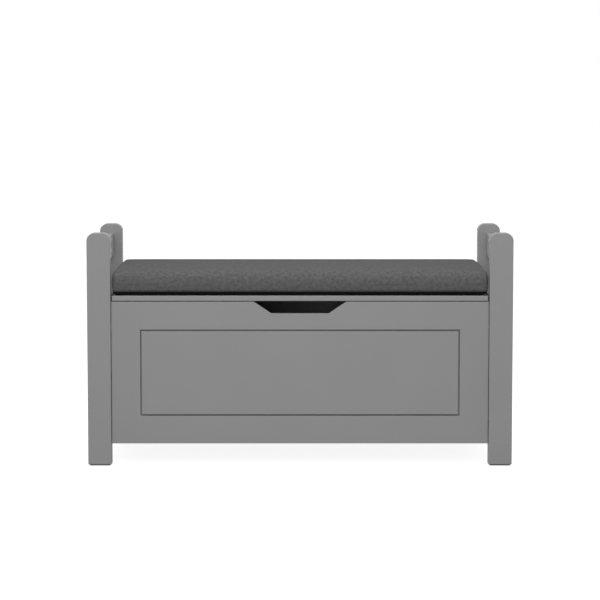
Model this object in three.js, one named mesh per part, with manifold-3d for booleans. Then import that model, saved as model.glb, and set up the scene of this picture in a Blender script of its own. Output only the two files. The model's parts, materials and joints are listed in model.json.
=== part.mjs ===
/**
 * Storage bench with a padded seat that lifts as a lid.
 *
 * Millimetres. +X is to the right, +Y to the back and +Z up. The origin is on the floor,
 * under the middle of the bench.
 */
import * as THREE from 'three';
import { mergeVertices, toCreasedNormals } from 'three/addons/utils/BufferGeometryUtils.js';
import Module from 'manifold-3d';

const wasm = await Module();
wasm.setup();

// ---------------------------------------------------------------- driving dimensions

const bench = { width: 1000, depth: 400, height: 550 };

// seam: between faces that meet; bore: around a pin, dowel or tongue; running: beside a moving part
const gap = { seam: 0.2, bore: 0.3, running: 0.4 };

const post = { width: 55, depth: 35, topRadius: 18, edge: 2 };
const footPad = { thickness: 3, inset: 3 };
const panel = { thickness: 15, bottom: 52, setback: 8, endGap: 0.8, edge: 1.5 };
const groove = { sideMargin: 69, topMargin: 68.5, bottomMargin: 68, width: 3, depth: 3 };
const notch = { topWidth: 218, bottomWidth: 136, depth: 28 };
const sidePanel = { thickness: 15, tongue: 7, tongueDepth: 6 };
const bottomBoard = { thickness: 12, endGap: 0.5 };
const cleat = { width: 18, height: 18, drop: 3, endGap: 5 };
const rail = { thickness: 15, height: 57.5, drop: 22.5, edge: 2 };
const dowel = { radius: 4, length: 30 };
const lid = { top: 402, thickness: 12, underGap: 1.5, endGap: 2.5, edge: 1.5 };
const strip = { endMargin: 92.5, width: 25, thickness: 1.5, fromEdge: 55 };
const cushion = {
  thickness: 54,
  endGap: 5.5,
  frontInset: 3,
  rearInset: 8,
  cornerRadius: 14,
  edge: 12,
};
const bumper = { radius: 4, fromPost: 40 };
const bolt = {
  shankRadius: 3,
  headRadius: 6,
  headHeight: 4,
  headDrop: 0.6,
  socketRadius: 2.4,
  socketDepth: 2.4,
  fromPanelEdge: 60,
};
const barrelNut = { radius: 5, cover: 2.4, fromPanelEnd: 26, slotWidth: 1.2, slotDepth: 1.5 };
const hinge = {
  fromPost: 145,
  length: 60,
  knuckleLength: 18,
  knuckleRadius: 3.3,
  pinRadius: 1.5,
  pinHeadRadius: 2.6,
  pinHeadHeight: 1.2,
  behindLid: 4,
  leafMargin: 1.5,
  leafThickness: 1.2,
  screwRadius: 2,
  screwSpacing: 36,
};
const stay = {
  armLength: 140,
  armWidth: 12,
  armThickness: 2,
  sideAngle: 60,
  pivotDrop: 17,
  plateThickness: 1.6,
  plateSize: 40,
  plateRadius: 6,
  tabWidth: 16,
  flangeLength: 44,
  flangeWidth: 20,
  rivetRadius: 3,
  headRadius: 5,
  headHeight: 1.5,
  tailHeight: 1.2,
  sideGap: 1,
  armGap: 0.8,
};

const colours = {
  paint: 0x8f8f8f,
  weave: 0x4b4b4c,
  zinc: 0xb9bbbd,
  steel: 0x9a9c9e,
  felt: 0x3a3a3a,
  rubber: 0x2b2b2b,
  beech: 0xc9a97c,
  hook: 0x1d1d1d,
};

// ---------------------------------------------------------------- places worked out from them

const halfX = bench.width / 2;
const halfY = bench.depth / 2;
const postInnerX = halfX - post.width;
const postInnerY = halfY - post.depth;
const postFoot = footPad.thickness + gap.seam;
const panelOuterY = halfY - panel.setback;
const panelInnerY = panelOuterY - panel.thickness;
const panelMiddleY = (panelOuterY + panelInnerY) / 2;
const panelEndX = postInnerX - panel.endGap;
const lidBottom = lid.top - lid.thickness;
const panelTop = lidBottom - lid.underGap;
const lidEndX = postInnerX - lid.endGap;
const cleatBottom = panel.bottom + cleat.drop;
const floorBottom = cleatBottom + cleat.height + gap.seam;
const railX = halfX - post.width / 2;
const railTop = bench.height - rail.drop;
const railMiddleZ = railTop - rail.height / 2;
const boltLevels = {
  lower: panel.bottom + bolt.fromPanelEdge,
  upper: panelTop - bolt.fromPanelEdge,
};

const hingeAxis = new THREE.Vector2(panelOuterY + hinge.behindLid, panelTop + lid.underGap / 2);

// The stay is a parallelogram: hinge axis, side pivot, elbow and lid pivot, as (y, z).
const sidePivot = new THREE.Vector2(-stay.armLength, 0)
  .rotateAround(new THREE.Vector2(), THREE.MathUtils.degToRad(stay.sideAngle))
  .add(hingeAxis);
const lidPivot = new THREE.Vector2(
  hingeAxis.x - Math.sqrt(stay.armLength ** 2 - stay.pivotDrop ** 2),
  hingeAxis.y - stay.pivotDrop,
);
const elbow = sidePivot.clone().add(lidPivot).sub(hingeAxis);

// The layers of a stay, from the side panel inwards, as distances from the bench's middle.
const lowerArmOuterX = postInnerX - stay.plateThickness - stay.sideGap;
const lowerArmInnerX = lowerArmOuterX - stay.armThickness;
const upperArmOuterX = lowerArmInnerX - stay.armGap;
const upperArmInnerX = upperArmOuterX - stay.armThickness;

// ---------------------------------------------------------------- solids

// How far a cutter runs past the face it opens, and the steps in a quarter circle.
const overshoot = 1;
const cornerSteps = 6;

/** A manifold solid from a closed three.js geometry. */
function solid(geometry) {
  const bare = geometry.clone();
  bare.deleteAttribute('normal');
  bare.deleteAttribute('uv');
  const merged = mergeVertices(bare, 1e-4);
  return new wasm.Manifold(new wasm.Mesh({
    numProp: 3,
    vertProperties: new Float32Array(merged.attributes.position.array),
    triVerts: new Uint32Array(merged.index.array),
  }));
}

/** A three.js geometry from a manifold solid, smooth on round faces and sharp at their edges. */
function geometryOf(shape) {
  const mesh = shape.getMesh();
  const geometry = new THREE.BufferGeometry();
  geometry.setAttribute('position', new THREE.BufferAttribute(mesh.vertProperties, 3));
  geometry.setIndex(new THREE.BufferAttribute(mesh.triVerts, 1));
  return toCreasedNormals(geometry, THREE.MathUtils.degToRad(40));
}

/** A named mesh whose own origin is at `at`, from a solid modelled in the bench's frame. */
function piece(name, shape, material, at = [0, 0, 0]) {
  const geometry = geometryOf(shape).translate(-at[0], -at[1], -at[2]);
  const mesh = new THREE.Mesh(geometry, material);
  mesh.name = name;
  mesh.position.set(...at);
  return mesh;
}

const cut = (shape, ...cutters) => cutters.reduce((left, cutter) => left.subtract(cutter), shape);
const join = (shape, ...others) => others.reduce((all, other) => all.add(other), shape);
const grow = (spans, by) => spans.map(([a, b]) => [Math.min(a, b) - by, Math.max(a, b) + by]);
const middle = (span) => (span[0] + span[1]) / 2;
const size = (span) => Math.abs(span[1] - span[0]);

/** A box between two limits along each axis. */
function block(xs, ys, zs) {
  const box = new THREE.BoxGeometry(size(xs), size(ys), size(zs));
  return solid(box.translate(middle(xs), middle(ys), middle(zs)));
}

const X = new THREE.Vector3(1, 0, 0);
const Y = new THREE.Vector3(0, 1, 0);
const Z = new THREE.Vector3(0, 0, 1);

// How an outline and its thickness lie: (y, z) along x, (x, z) along y, (x, y) along z.
const outlinePlane = {
  x: new THREE.Matrix4().makeBasis(Y, Z, X),
  y: new THREE.Matrix4().makeBasis(X, Z, Y.clone().negate()),
  z: new THREE.Matrix4(),
};

/** A flat piece: an outline with a thickness along one axis, its edges rounded by `edge`. */
function plate(outline, axis, span, edge = 0) {
  const thickness = size(span);
  const geometry = new THREE.ExtrudeGeometry(outline, {
    depth: thickness - 2 * edge,
    curveSegments: 4,
    bevelEnabled: edge > 0,
    bevelThickness: edge,
    bevelSize: edge,
    bevelOffset: -edge,
    bevelSegments: 2,
  });
  geometry.translate(0, 0, edge - thickness / 2);
  geometry.applyMatrix4(outlinePlane[axis]);
  const offset = new THREE.Vector3();
  offset[axis] = middle(span);
  return solid(geometry.translate(offset.x, offset.y, offset.z));
}

/** A round bar along one axis. `centre` gives its other two coordinates. */
function rod(axis, centre, radius, span, sides = 16) {
  const geometry = new THREE.CylinderGeometry(radius, radius, size(span), sides);
  if (axis === 'x') geometry.rotateZ(Math.PI / 2);
  if (axis === 'z') geometry.rotateX(Math.PI / 2);
  const place = new THREE.Vector3(centre.x ?? 0, centre.y ?? 0, centre.z ?? 0);
  place[axis] = middle(span);
  return solid(geometry.translate(place.x, place.y, place.z));
}

/** The quarter circle that rounds one corner, or the corner itself where the radius is 0. */
function cornerPoints(u, v, inU, inV, radius, turn) {
  if (radius === 0) return [new THREE.Vector2(u, v)];
  const start = (turn - 1) * Math.PI / 2;
  const centreU = u + inU * radius;
  const centreV = v + inV * radius;
  const arc = new THREE.EllipseCurve(centreU, centreV, radius, radius, start, start + Math.PI / 2);
  return arc.getPoints(cornerSteps);
}

/** A rectangle with its lower and upper corners rounded. */
function rectangle([left, right], [low, high], lowRadius = 0, highRadius = lowRadius) {
  return new THREE.Shape([
    ...cornerPoints(right, low, -1, 1, lowRadius, 0),
    ...cornerPoints(right, high, -1, -1, highRadius, 1),
    ...cornerPoints(left, high, 1, -1, highRadius, 2),
    ...cornerPoints(left, low, 1, 1, lowRadius, 3),
  ]);
}

const around = (centre, halfSize) => [centre - halfSize, centre + halfSize];

// ---------------------------------------------------------------- joints shared by the boards

const sides = { left: -1, right: 1 };
const ends = { front: -1, rear: 1 };

/** The tongues of a side panel, which run into both posts beside it. */
function tongueSpans(side) {
  const centre = side * (postInnerX + sidePanel.thickness / 2);
  return [
    around(centre, sidePanel.tongue / 2),
    around(0, postInnerY + sidePanel.tongueDepth),
    [panel.bottom, lid.top],
  ];
}

/** The dowel between a post and an arm rail. */
function dowelRod(side, end, radius, length) {
  const centre = { x: side * railX, z: railMiddleZ };
  return rod('y', centre, radius, around(end * postInnerY, length / 2));
}

const nutX = panelEndX - barrelNut.fromPanelEnd;
const boltTipX = nutX - barrelNut.radius;

/** The hole for a connector bolt: a counterbore in the post, then a bore to past the barrel nut. */
function boltBore(side, end, z) {
  const centre = { y: end * panelMiddleY, z };
  const outside = side * (halfX + overshoot);
  const seat = side * (halfX - bolt.headDrop - bolt.headHeight - gap.bore);
  return join(
    rod('x', centre, bolt.shankRadius + gap.bore, [side * (boltTipX - gap.bore), outside]),
    rod('x', centre, bolt.headRadius + gap.bore, [seat, outside]),
  );
}

/** The pocket for a barrel nut, open at the panel's inner face. */
function nutPocket(side, end, z) {
  const mouth = end * (panelInnerY - overshoot);
  const floor = end * (panelOuterY - barrelNut.cover);
  return rod('y', { x: side * nutX, z }, barrelNut.radius + gap.bore, [mouth, floor]);
}

/** A front or back panel with the holes for its four bolts and barrel nuts. */
function boredPanel(shape, end) {
  let bored = shape;
  for (const side of Object.values(sides)) {
    for (const z of Object.values(boltLevels)) {
      bored = cut(bored, boltBore(side, end, z), nutPocket(side, end, z));
    }
  }
  return bored;
}

// ---------------------------------------------------------------- boards

function postSolid(side, end) {
  const outline = rectangle(
    around(side * railX, post.width / 2),
    [postFoot, bench.height],
    0,
    post.topRadius,
  );
  const bores = Object.values(boltLevels).map((z) => boltBore(side, end, z));
  return cut(
    plate(outline, 'y', [end * postInnerY, end * halfY], post.edge),
    block(...grow(tongueSpans(side), gap.bore)),
    dowelRod(side, end, dowel.radius + gap.bore, dowel.length + 2 * gap.bore),
    ...bores,
  );
}

function armRailSolid(side) {
  const outline = rectangle(
    around(side * railX, rail.thickness / 2),
    [railTop - rail.height, railTop],
    rail.edge,
  );
  const reach = postInnerY - gap.seam;
  const sockets = Object.values(ends).map(
    (end) => dowelRod(side, end, dowel.radius + gap.bore, dowel.length + 2 * gap.bore),
  );
  return cut(plate(outline, 'y', [-reach, reach]), ...sockets);
}

function sidePanelSolid(side) {
  const reach = postInnerY - gap.seam;
  const faces = [side * postInnerX, side * (postInnerX + sidePanel.thickness)];
  return block(faces, [-reach, reach], [panel.bottom, lid.top]).add(block(...tongueSpans(side)));
}

/** The front panel's outline: a rectangle with a finger notch in its top edge. */
function notchedOutline() {
  const outline = new THREE.Shape();
  outline.moveTo(-panelEndX, panel.bottom);
  outline.lineTo(panelEndX, panel.bottom);
  outline.lineTo(panelEndX, panelTop);
  outline.lineTo(notch.topWidth / 2, panelTop);
  outline.lineTo(notch.bottomWidth / 2, panelTop - notch.depth);
  outline.lineTo(-notch.bottomWidth / 2, panelTop - notch.depth);
  outline.lineTo(-notch.topWidth / 2, panelTop);
  outline.lineTo(-panelEndX, panelTop);
  outline.closePath();
  return outline;
}

/** The routed line on the front panel. */
function grooveCutter() {
  const spanX = [-panelEndX + groove.sideMargin, panelEndX - groove.sideMargin];
  const spanZ = [panel.bottom + groove.bottomMargin, panelTop - groove.topMargin];
  const [outer, inner] = [groove.width / 2, -groove.width / 2].map(
    (by) => rectangle(...grow([spanX, spanZ], by)),
  );
  outer.holes.push(inner);
  return plate(outer, 'y', [-panelOuterY - overshoot, -panelOuterY + groove.depth]);
}

function frontPanelSolid() {
  const board = plate(notchedOutline(), 'y', [-panelOuterY, -panelInnerY], panel.edge);
  return boredPanel(cut(board, grooveCutter()), ends.front);
}

function backPanelSolid() {
  const outline = rectangle([-panelEndX, panelEndX], [panel.bottom, panelTop]);
  const board = plate(outline, 'y', [panelInnerY, panelOuterY], panel.edge);
  const mortises = Object.values(sides).map((side) => hingeMortise(side, -1));
  return cut(boredPanel(board, ends.rear), ...mortises);
}

function bottomBoardSolid() {
  const reachX = postInnerX - bottomBoard.endGap;
  const reachY = panelInnerY - gap.seam;
  return block([-reachX, reachX], [-reachY, reachY], [floorBottom, floorBottom + bottomBoard.thickness]);
}

function cleatSolid(end) {
  const reachX = postInnerX - cleat.endGap;
  const outer = panelInnerY - gap.seam;
  const spanY = [end * outer, end * (outer - cleat.width)];
  return block([-reachX, reachX], spanY, [cleatBottom, cleatBottom + cleat.height]);
}

function lidSolid() {
  const outline = rectangle([-lidEndX, lidEndX], [-panelOuterY, panelOuterY]);
  const mortises = Object.values(sides).map((side) => hingeMortise(side, 1));
  return cut(plate(outline, 'z', [lidBottom, lid.top], lid.edge), ...mortises);
}

// ---------------------------------------------------------------- soft pieces

const stripBottom = lid.top + gap.seam;
const cushionBottom = stripBottom + strip.thickness + gap.bore;

function cushionSolid() {
  const reachX = postInnerX - cushion.endGap;
  const spanY = [-panelOuterY + cushion.frontInset, panelOuterY - cushion.rearInset];
  const outline = rectangle([-reachX, reachX], spanY, cushion.cornerRadius);
  return plate(outline, 'z', [cushionBottom, cushionBottom + cushion.thickness], cushion.edge);
}

function stripSolid(end) {
  const centreY = end * (panelOuterY - strip.fromEdge);
  const spanZ = [stripBottom, stripBottom + strip.thickness];
  return block(around(0, lidEndX - strip.endMargin), around(centreY, strip.width / 2), spanZ);
}

function footPadSolid(side, end) {
  const spanX = around(side * railX, post.width / 2 - footPad.inset);
  const spanY = around(end * (halfY - post.depth / 2), post.depth / 2 - footPad.inset);
  return block(spanX, spanY, [0, footPad.thickness]);
}

function bumperSolid(side) {
  const centre = { x: side * (postInnerX - bumper.fromPost), y: -panelMiddleY };
  return rod('z', centre, bumper.radius, [panelTop + gap.seam, lidBottom - gap.seam]);
}

// ---------------------------------------------------------------- knock-down fasteners

function boltSolid(side, end, z) {
  const centre = { y: end * panelMiddleY, z };
  const headOuter = halfX - bolt.headDrop;
  const headInner = headOuter - bolt.headHeight;
  const socketFloor = headOuter - bolt.socketDepth;
  return cut(
    join(
      rod('x', centre, bolt.shankRadius, [side * boltTipX, side * socketFloor]),
      rod('x', centre, bolt.headRadius, [side * headInner, side * headOuter]),
    ),
    rod('x', centre, bolt.socketRadius, [side * socketFloor, side * (headOuter + overshoot)], 6),
  );
}

function barrelNutSolid(side, end, z) {
  const inner = panelInnerY + gap.bore;
  const outer = panelOuterY - barrelNut.cover - gap.bore;
  const slot = block(
    around(side * nutX, barrelNut.radius + overshoot),
    [end * (inner - overshoot), end * (inner + barrelNut.slotDepth)],
    around(z, barrelNut.slotWidth / 2),
  );
  const body = rod('y', { x: side * nutX, z }, barrelNut.radius, [end * inner, end * outer]);
  return cut(body, boltBore(side, end, z), slot);
}

/** Calls `make` for each bolt, with a name for its place. */
function eachBolt(make) {
  for (const [endName, end] of Object.entries(ends)) {
    for (const [sideName, side] of Object.entries(sides)) {
      for (const [level, z] of Object.entries(boltLevels)) {
        make(`${endName}_${sideName}_${level}`, side, end, z);
      }
    }
  }
}

// ---------------------------------------------------------------- butt hinges

const hingeX = postInnerX - hinge.fromPost;
const leafFrontY = panelInnerY + hinge.leafMargin;
const leafRearY = hingeAxis.x - hinge.knuckleRadius - gap.running;

/** The thickness of a leaf: up is 1 for the lid's leaf and -1 for the leaf on the back panel. */
function leafSpanZ(up) {
  const inner = hingeAxis.y + up * lid.underGap / 2;
  return [inner, inner + up * hinge.leafThickness];
}

/** The shallow recess that a leaf lies in, open towards the other leaf and at the rear edge. */
function hingeMortise(side, up) {
  return block(
    around(side * hingeX, hinge.length / 2 + gap.bore),
    [leafFrontY - gap.bore, halfY],
    [hingeAxis.y, leafSpanZ(up)[1] + up * gap.bore],
  );
}

/** The stretches of the barrel that belong to a leaf: the middle one, or the two outer ones. */
function knuckleSpans(side, up) {
  const centre = side * hingeX;
  const outer = hinge.length / 2;
  const inner = outer - hinge.knuckleLength;
  if (up > 0) return [around(centre, inner - gap.running)];
  return [[centre - outer, centre - inner], [centre + inner, centre + outer]];
}

function hingeLeafSolid(side, up) {
  const centre = side * hingeX;
  const axis = { y: hingeAxis.x, z: hingeAxis.y };
  const spanZ = leafSpanZ(up);
  const leaf = block(around(centre, hinge.length / 2), [leafFrontY, leafRearY], spanZ);
  const knuckles = knuckleSpans(side, up).flatMap((span) => [
    rod('x', axis, hinge.knuckleRadius, span),
    block(span, [leafFrontY, hingeAxis.x], spanZ),
  ]);
  const pinBore = rod(
    'x',
    axis,
    hinge.pinRadius + gap.bore,
    around(centre, hinge.length / 2 + overshoot),
  );
  const screwHoles = [-1, 1].map((step) => rod(
    'z',
    { x: centre + step * hinge.screwSpacing / 2, y: (leafFrontY + leafRearY) / 2 },
    hinge.screwRadius,
    around(middle(spanZ), hinge.leafThickness),
    12,
  ));
  return cut(join(leaf, ...knuckles), pinBore, ...screwHoles);
}

function hingePinSolid(side) {
  const centre = side * hingeX;
  const axis = { y: hingeAxis.x, z: hingeAxis.y };
  const reach = hinge.length / 2 + gap.bore;
  const headEnd = reach + hinge.pinHeadHeight;
  return join(
    rod('x', axis, hinge.pinRadius, around(centre, headEnd), 12),
    rod('x', axis, hinge.pinHeadRadius, [centre - headEnd, centre - reach], 12),
    rod('x', axis, hinge.pinHeadRadius, [centre + reach, centre + headEnd], 12),
  );
}

// ---------------------------------------------------------------- folding lid stays

/** A pivot stud with its head: from a plate at `rootX`, through an arm whose far face is `faceX`. */
function studSolid(side, pivot, rootX, faceX) {
  const axis = { y: pivot.x, z: pivot.y };
  const headStart = faceX - gap.bore;
  const headEnd = headStart - stay.headHeight;
  return join(
    rod('x', axis, stay.rivetRadius, [side * rootX, side * headEnd]),
    rod('x', axis, stay.headRadius, [side * headStart, side * headEnd]),
  );
}

function sideBracketSolid(side) {
  const outline = rectangle(
    around(sidePivot.x, stay.plateSize / 2),
    around(sidePivot.y, stay.plateSize / 2),
    stay.plateRadius,
  );
  const outer = postInnerX - gap.seam;
  const inner = outer - stay.plateThickness;
  const plateBody = plate(outline, 'x', [side * inner, side * outer]);
  return plateBody.add(studSolid(side, sidePivot, outer - stay.plateThickness / 2, lowerArmInnerX));
}

function lidBracketSolid(side) {
  const top = lidBottom - gap.seam;
  const tabOutline = rectangle(
    around(lidPivot.x, stay.tabWidth / 2),
    [lidPivot.y - stay.tabWidth / 2, top],
    stay.tabWidth / 2 - gap.seam,
    0,
  );
  const tab = plate(tabOutline, 'x', [side * lowerArmInnerX, side * lowerArmOuterX]);
  const flange = block(
    [side * (lowerArmOuterX - stay.flangeWidth), side * lowerArmOuterX],
    around(lidPivot.x, stay.flangeLength / 2),
    [top - stay.plateThickness, top],
  );
  const rootX = (lowerArmInnerX + lowerArmOuterX) / 2;
  return join(tab, flange, studSolid(side, lidPivot, rootX, upperArmInnerX));
}

/** An arm of a stay along its own +Y, with a hole at each end. */
function armSolid(side, outerX, innerX) {
  const holeRadius = stay.rivetRadius + gap.bore;
  const outline = new THREE.Shape();
  outline.absarc(0, 0, stay.armWidth / 2, Math.PI / 2, Math.PI * 3 / 2);
  outline.absarc(stay.armLength, 0, stay.armWidth / 2, -Math.PI / 2, Math.PI / 2);
  outline.closePath();
  const body = plate(outline, 'x', [side * innerX, side * outerX]);
  const holes = [0, stay.armLength].map(
    (y) => rod('x', { y, z: 0 }, holeRadius, [side * (innerX - overshoot), side * (outerX + overshoot)]),
  );
  return cut(body, ...holes);
}

/** An arm from its pivot to the elbow. */
function armPiece(name, shape, pivot) {
  const mesh = piece(name, shape, zincFinish());
  const along = elbow.clone().sub(pivot);
  mesh.position.set(0, pivot.x, pivot.y);
  mesh.rotation.x = Math.atan2(along.y, along.x);
  return mesh;
}

function elbowRivetSolid(side) {
  const axis = { y: elbow.x, z: elbow.y };
  const outer = lowerArmOuterX + gap.bore;
  const inner = upperArmInnerX - gap.bore;
  const outerHead = [side * outer, side * (outer + stay.tailHeight)];
  const innerHead = [side * (inner - stay.headHeight), side * inner];
  return join(
    rod('x', axis, stay.rivetRadius, [innerHead[0], outerHead[1]]),
    rod('x', axis, stay.headRadius, outerHead),
    rod('x', axis, stay.headRadius, innerHead),
  );
}

// ---------------------------------------------------------------- materials

const finish = (color, roughness, metalness = 0) => (
  () => new THREE.MeshStandardMaterial({ color, roughness, metalness })
);
const paintFinish = finish(colours.paint, 0.55);
const weaveFinish = finish(colours.weave, 0.95);
const feltFinish = finish(colours.felt, 1);
const rubberFinish = finish(colours.rubber, 0.8);
const beechFinish = finish(colours.beech, 0.7);
const hookFinish = finish(colours.hook, 0.95);
const zincFinish = finish(colours.zinc, 0.35, 1);
const steelFinish = finish(colours.steel, 0.3, 1);

// ---------------------------------------------------------------- assembly

function endFrames() {
  const group = new THREE.Group();
  for (const [sideName, side] of Object.entries(sides)) {
    const x = side * railX;
    const wallX = side * (postInnerX + sidePanel.thickness / 2);
    for (const [endName, end] of Object.entries(ends)) {
      const y = end * (halfY - post.depth / 2);
      const name = `${endName}_${sideName}`;
      const pin = dowelRod(side, end, dowel.radius, dowel.length);
      group.add(piece(`post_${name}`, postSolid(side, end), paintFinish(), [x, y, 0]));
      group.add(piece(`foot_pad_${name}`, footPadSolid(side, end), feltFinish(), [x, y, 0]));
      group.add(piece(`rail_dowel_${name}`, pin, beechFinish(), [x, end * postInnerY, railMiddleZ]));
    }
    group.add(piece(`arm_rail_${sideName}`, armRailSolid(side), paintFinish(), [x, 0, railMiddleZ]));
    group.add(piece(`side_panel_${sideName}`, sidePanelSolid(side), paintFinish(), [wallX, 0, panel.bottom]));
  }
  return group;
}

function chest() {
  const group = new THREE.Group();
  group.add(piece('front_panel', frontPanelSolid(), paintFinish(), [0, -panelMiddleY, panel.bottom]));
  group.add(piece('back_panel', backPanelSolid(), paintFinish(), [0, panelMiddleY, panel.bottom]));
  group.add(piece('bottom_board', bottomBoardSolid(), paintFinish(), [0, 0, floorBottom]));
  for (const [endName, end] of Object.entries(ends)) {
    group.add(piece(`bottom_cleat_${endName}`, cleatSolid(end), paintFinish(), [0, 0, cleatBottom]));
  }
  for (const [sideName, side] of Object.entries(sides)) {
    group.add(piece(`lid_bumper_${sideName}`, bumperSolid(side), rubberFinish(), [0, 0, panelTop]));
  }
  return group;
}

function fasteners() {
  const group = new THREE.Group();
  eachBolt((name, side, end, z) => {
    const at = [side * halfX, end * panelMiddleY, z];
    const nutAt = [side * nutX, end * panelMiddleY, z];
    group.add(piece(`bolt_${name}`, boltSolid(side, end, z), zincFinish(), at));
    group.add(piece(`barrel_nut_${name}`, barrelNutSolid(side, end, z), zincFinish(), nutAt));
  });
  return group;
}

function seat() {
  const group = new THREE.Group();
  group.add(piece('lid_board', lidSolid(), paintFinish(), [0, 0, lidBottom]));
  group.add(piece('seat_cushion', cushionSolid(), weaveFinish(), [0, 0, cushionBottom]));
  for (const [endName, end] of Object.entries(ends)) {
    group.add(piece(`cushion_strip_${endName}`, stripSolid(end), hookFinish(), [0, 0, stripBottom]));
  }
  return group;
}

function hinges() {
  const group = new THREE.Group();
  for (const [name, side] of Object.entries(sides)) {
    const at = [side * hingeX, hingeAxis.x, hingeAxis.y];
    group.add(piece(`hinge_fixed_leaf_${name}`, hingeLeafSolid(side, -1), zincFinish(), at));
    group.add(piece(`hinge_lid_leaf_${name}`, hingeLeafSolid(side, 1), zincFinish(), at));
    group.add(piece(`hinge_pin_${name}`, hingePinSolid(side), steelFinish(), at));
  }
  return group;
}

function lidStays() {
  const group = new THREE.Group();
  for (const [name, side] of Object.entries(sides)) {
    const lowerArm = armSolid(side, lowerArmOuterX, lowerArmInnerX);
    const upperArm = armSolid(side, upperArmOuterX, upperArmInnerX);
    group.add(piece(`stay_side_bracket_${name}`, sideBracketSolid(side), zincFinish()));
    group.add(piece(`stay_lid_bracket_${name}`, lidBracketSolid(side), zincFinish()));
    group.add(armPiece(`stay_lower_arm_${name}`, lowerArm, sidePivot));
    group.add(armPiece(`stay_upper_arm_${name}`, upperArm, lidPivot));
    group.add(piece(`stay_elbow_rivet_${name}`, elbowRivetSolid(side), steelFinish()));
  }
  return group;
}

const model = new THREE.Group();
model.name = 'storage_bench';
model.add(endFrames(), chest(), fasteners(), seat(), hinges(), lidStays());

export default model;
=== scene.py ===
"""Storage bench with a padded seat that lifts as a lid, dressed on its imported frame.

Metres. +X is to the right, +Y to the back and +Z up. The bench stands on the floor at the origin.
"""

import json
import logging
import math
from abc import ABC, abstractmethod
from dataclasses import dataclass, field, fields
from enum import Enum
from itertools import product
from typing import ClassVar, Iterable, Sequence

import bmesh
import bpy
import numpy as np
from mathutils import Matrix, Vector
from mathutils.geometry import tessellate_polygon

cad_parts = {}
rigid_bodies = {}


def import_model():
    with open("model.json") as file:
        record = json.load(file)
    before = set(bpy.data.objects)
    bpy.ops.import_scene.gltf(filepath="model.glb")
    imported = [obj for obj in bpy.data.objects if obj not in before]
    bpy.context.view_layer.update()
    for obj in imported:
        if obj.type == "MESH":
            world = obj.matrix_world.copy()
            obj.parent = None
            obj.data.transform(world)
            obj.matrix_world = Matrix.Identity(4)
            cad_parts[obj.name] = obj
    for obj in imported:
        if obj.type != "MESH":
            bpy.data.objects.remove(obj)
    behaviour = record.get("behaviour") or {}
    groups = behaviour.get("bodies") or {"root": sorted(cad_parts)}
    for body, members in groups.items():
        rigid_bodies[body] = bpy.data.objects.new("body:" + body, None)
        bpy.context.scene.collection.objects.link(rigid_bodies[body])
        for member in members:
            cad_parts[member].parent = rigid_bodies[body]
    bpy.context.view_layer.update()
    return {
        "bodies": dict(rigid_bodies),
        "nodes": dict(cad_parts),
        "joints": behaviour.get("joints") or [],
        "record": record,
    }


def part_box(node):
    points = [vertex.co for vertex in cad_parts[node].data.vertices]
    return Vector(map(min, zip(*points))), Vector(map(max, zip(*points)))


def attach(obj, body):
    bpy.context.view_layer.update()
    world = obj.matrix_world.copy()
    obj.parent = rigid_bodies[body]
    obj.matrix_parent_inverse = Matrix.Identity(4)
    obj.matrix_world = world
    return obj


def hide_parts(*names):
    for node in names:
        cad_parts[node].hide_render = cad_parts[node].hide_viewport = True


LOG = logging.getLogger("bench")

Point = tuple[float, float]
Span = tuple[float, float]
Loop = list[Point]
Triple = tuple[float, float, float]
Places = list[tuple[Sequence[float], Sequence[float]]]
Piece = bpy.types.Object
Socket = bpy.types.NodeSocket
Inputs = dict[str | int, object]

SIDES = {"left": -1, "right": 1}
ENDS = {"front": -1, "rear": 1}
LEVELS = ("lower", "upper")

SEAM = 0.0002  # the gap that shows between a tongue's shoulder and its post
BORE = 0.0003  # how much room a hole leaves around what goes into it
OVERSHOOT = 0.001  # how far a cutter reaches past a face
CREASE = math.radians(32)  # the angle past which an edge is sharp
SHARPEST = 0.2  # holds back how far an inset goes at a sharp corner
SAME_POINT = 1e-7  # how close two points are merged
TINY = 1e-9  # keeps a division away from zero

NOISE_RANGE = (0.3, 0.7)  # where nearly all of a noise's values lie
FULL_RANGE = (0.0, 1.0)
WHITE = (1.0, 1.0, 1.0, 1.0)


# ------------ node trees


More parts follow.
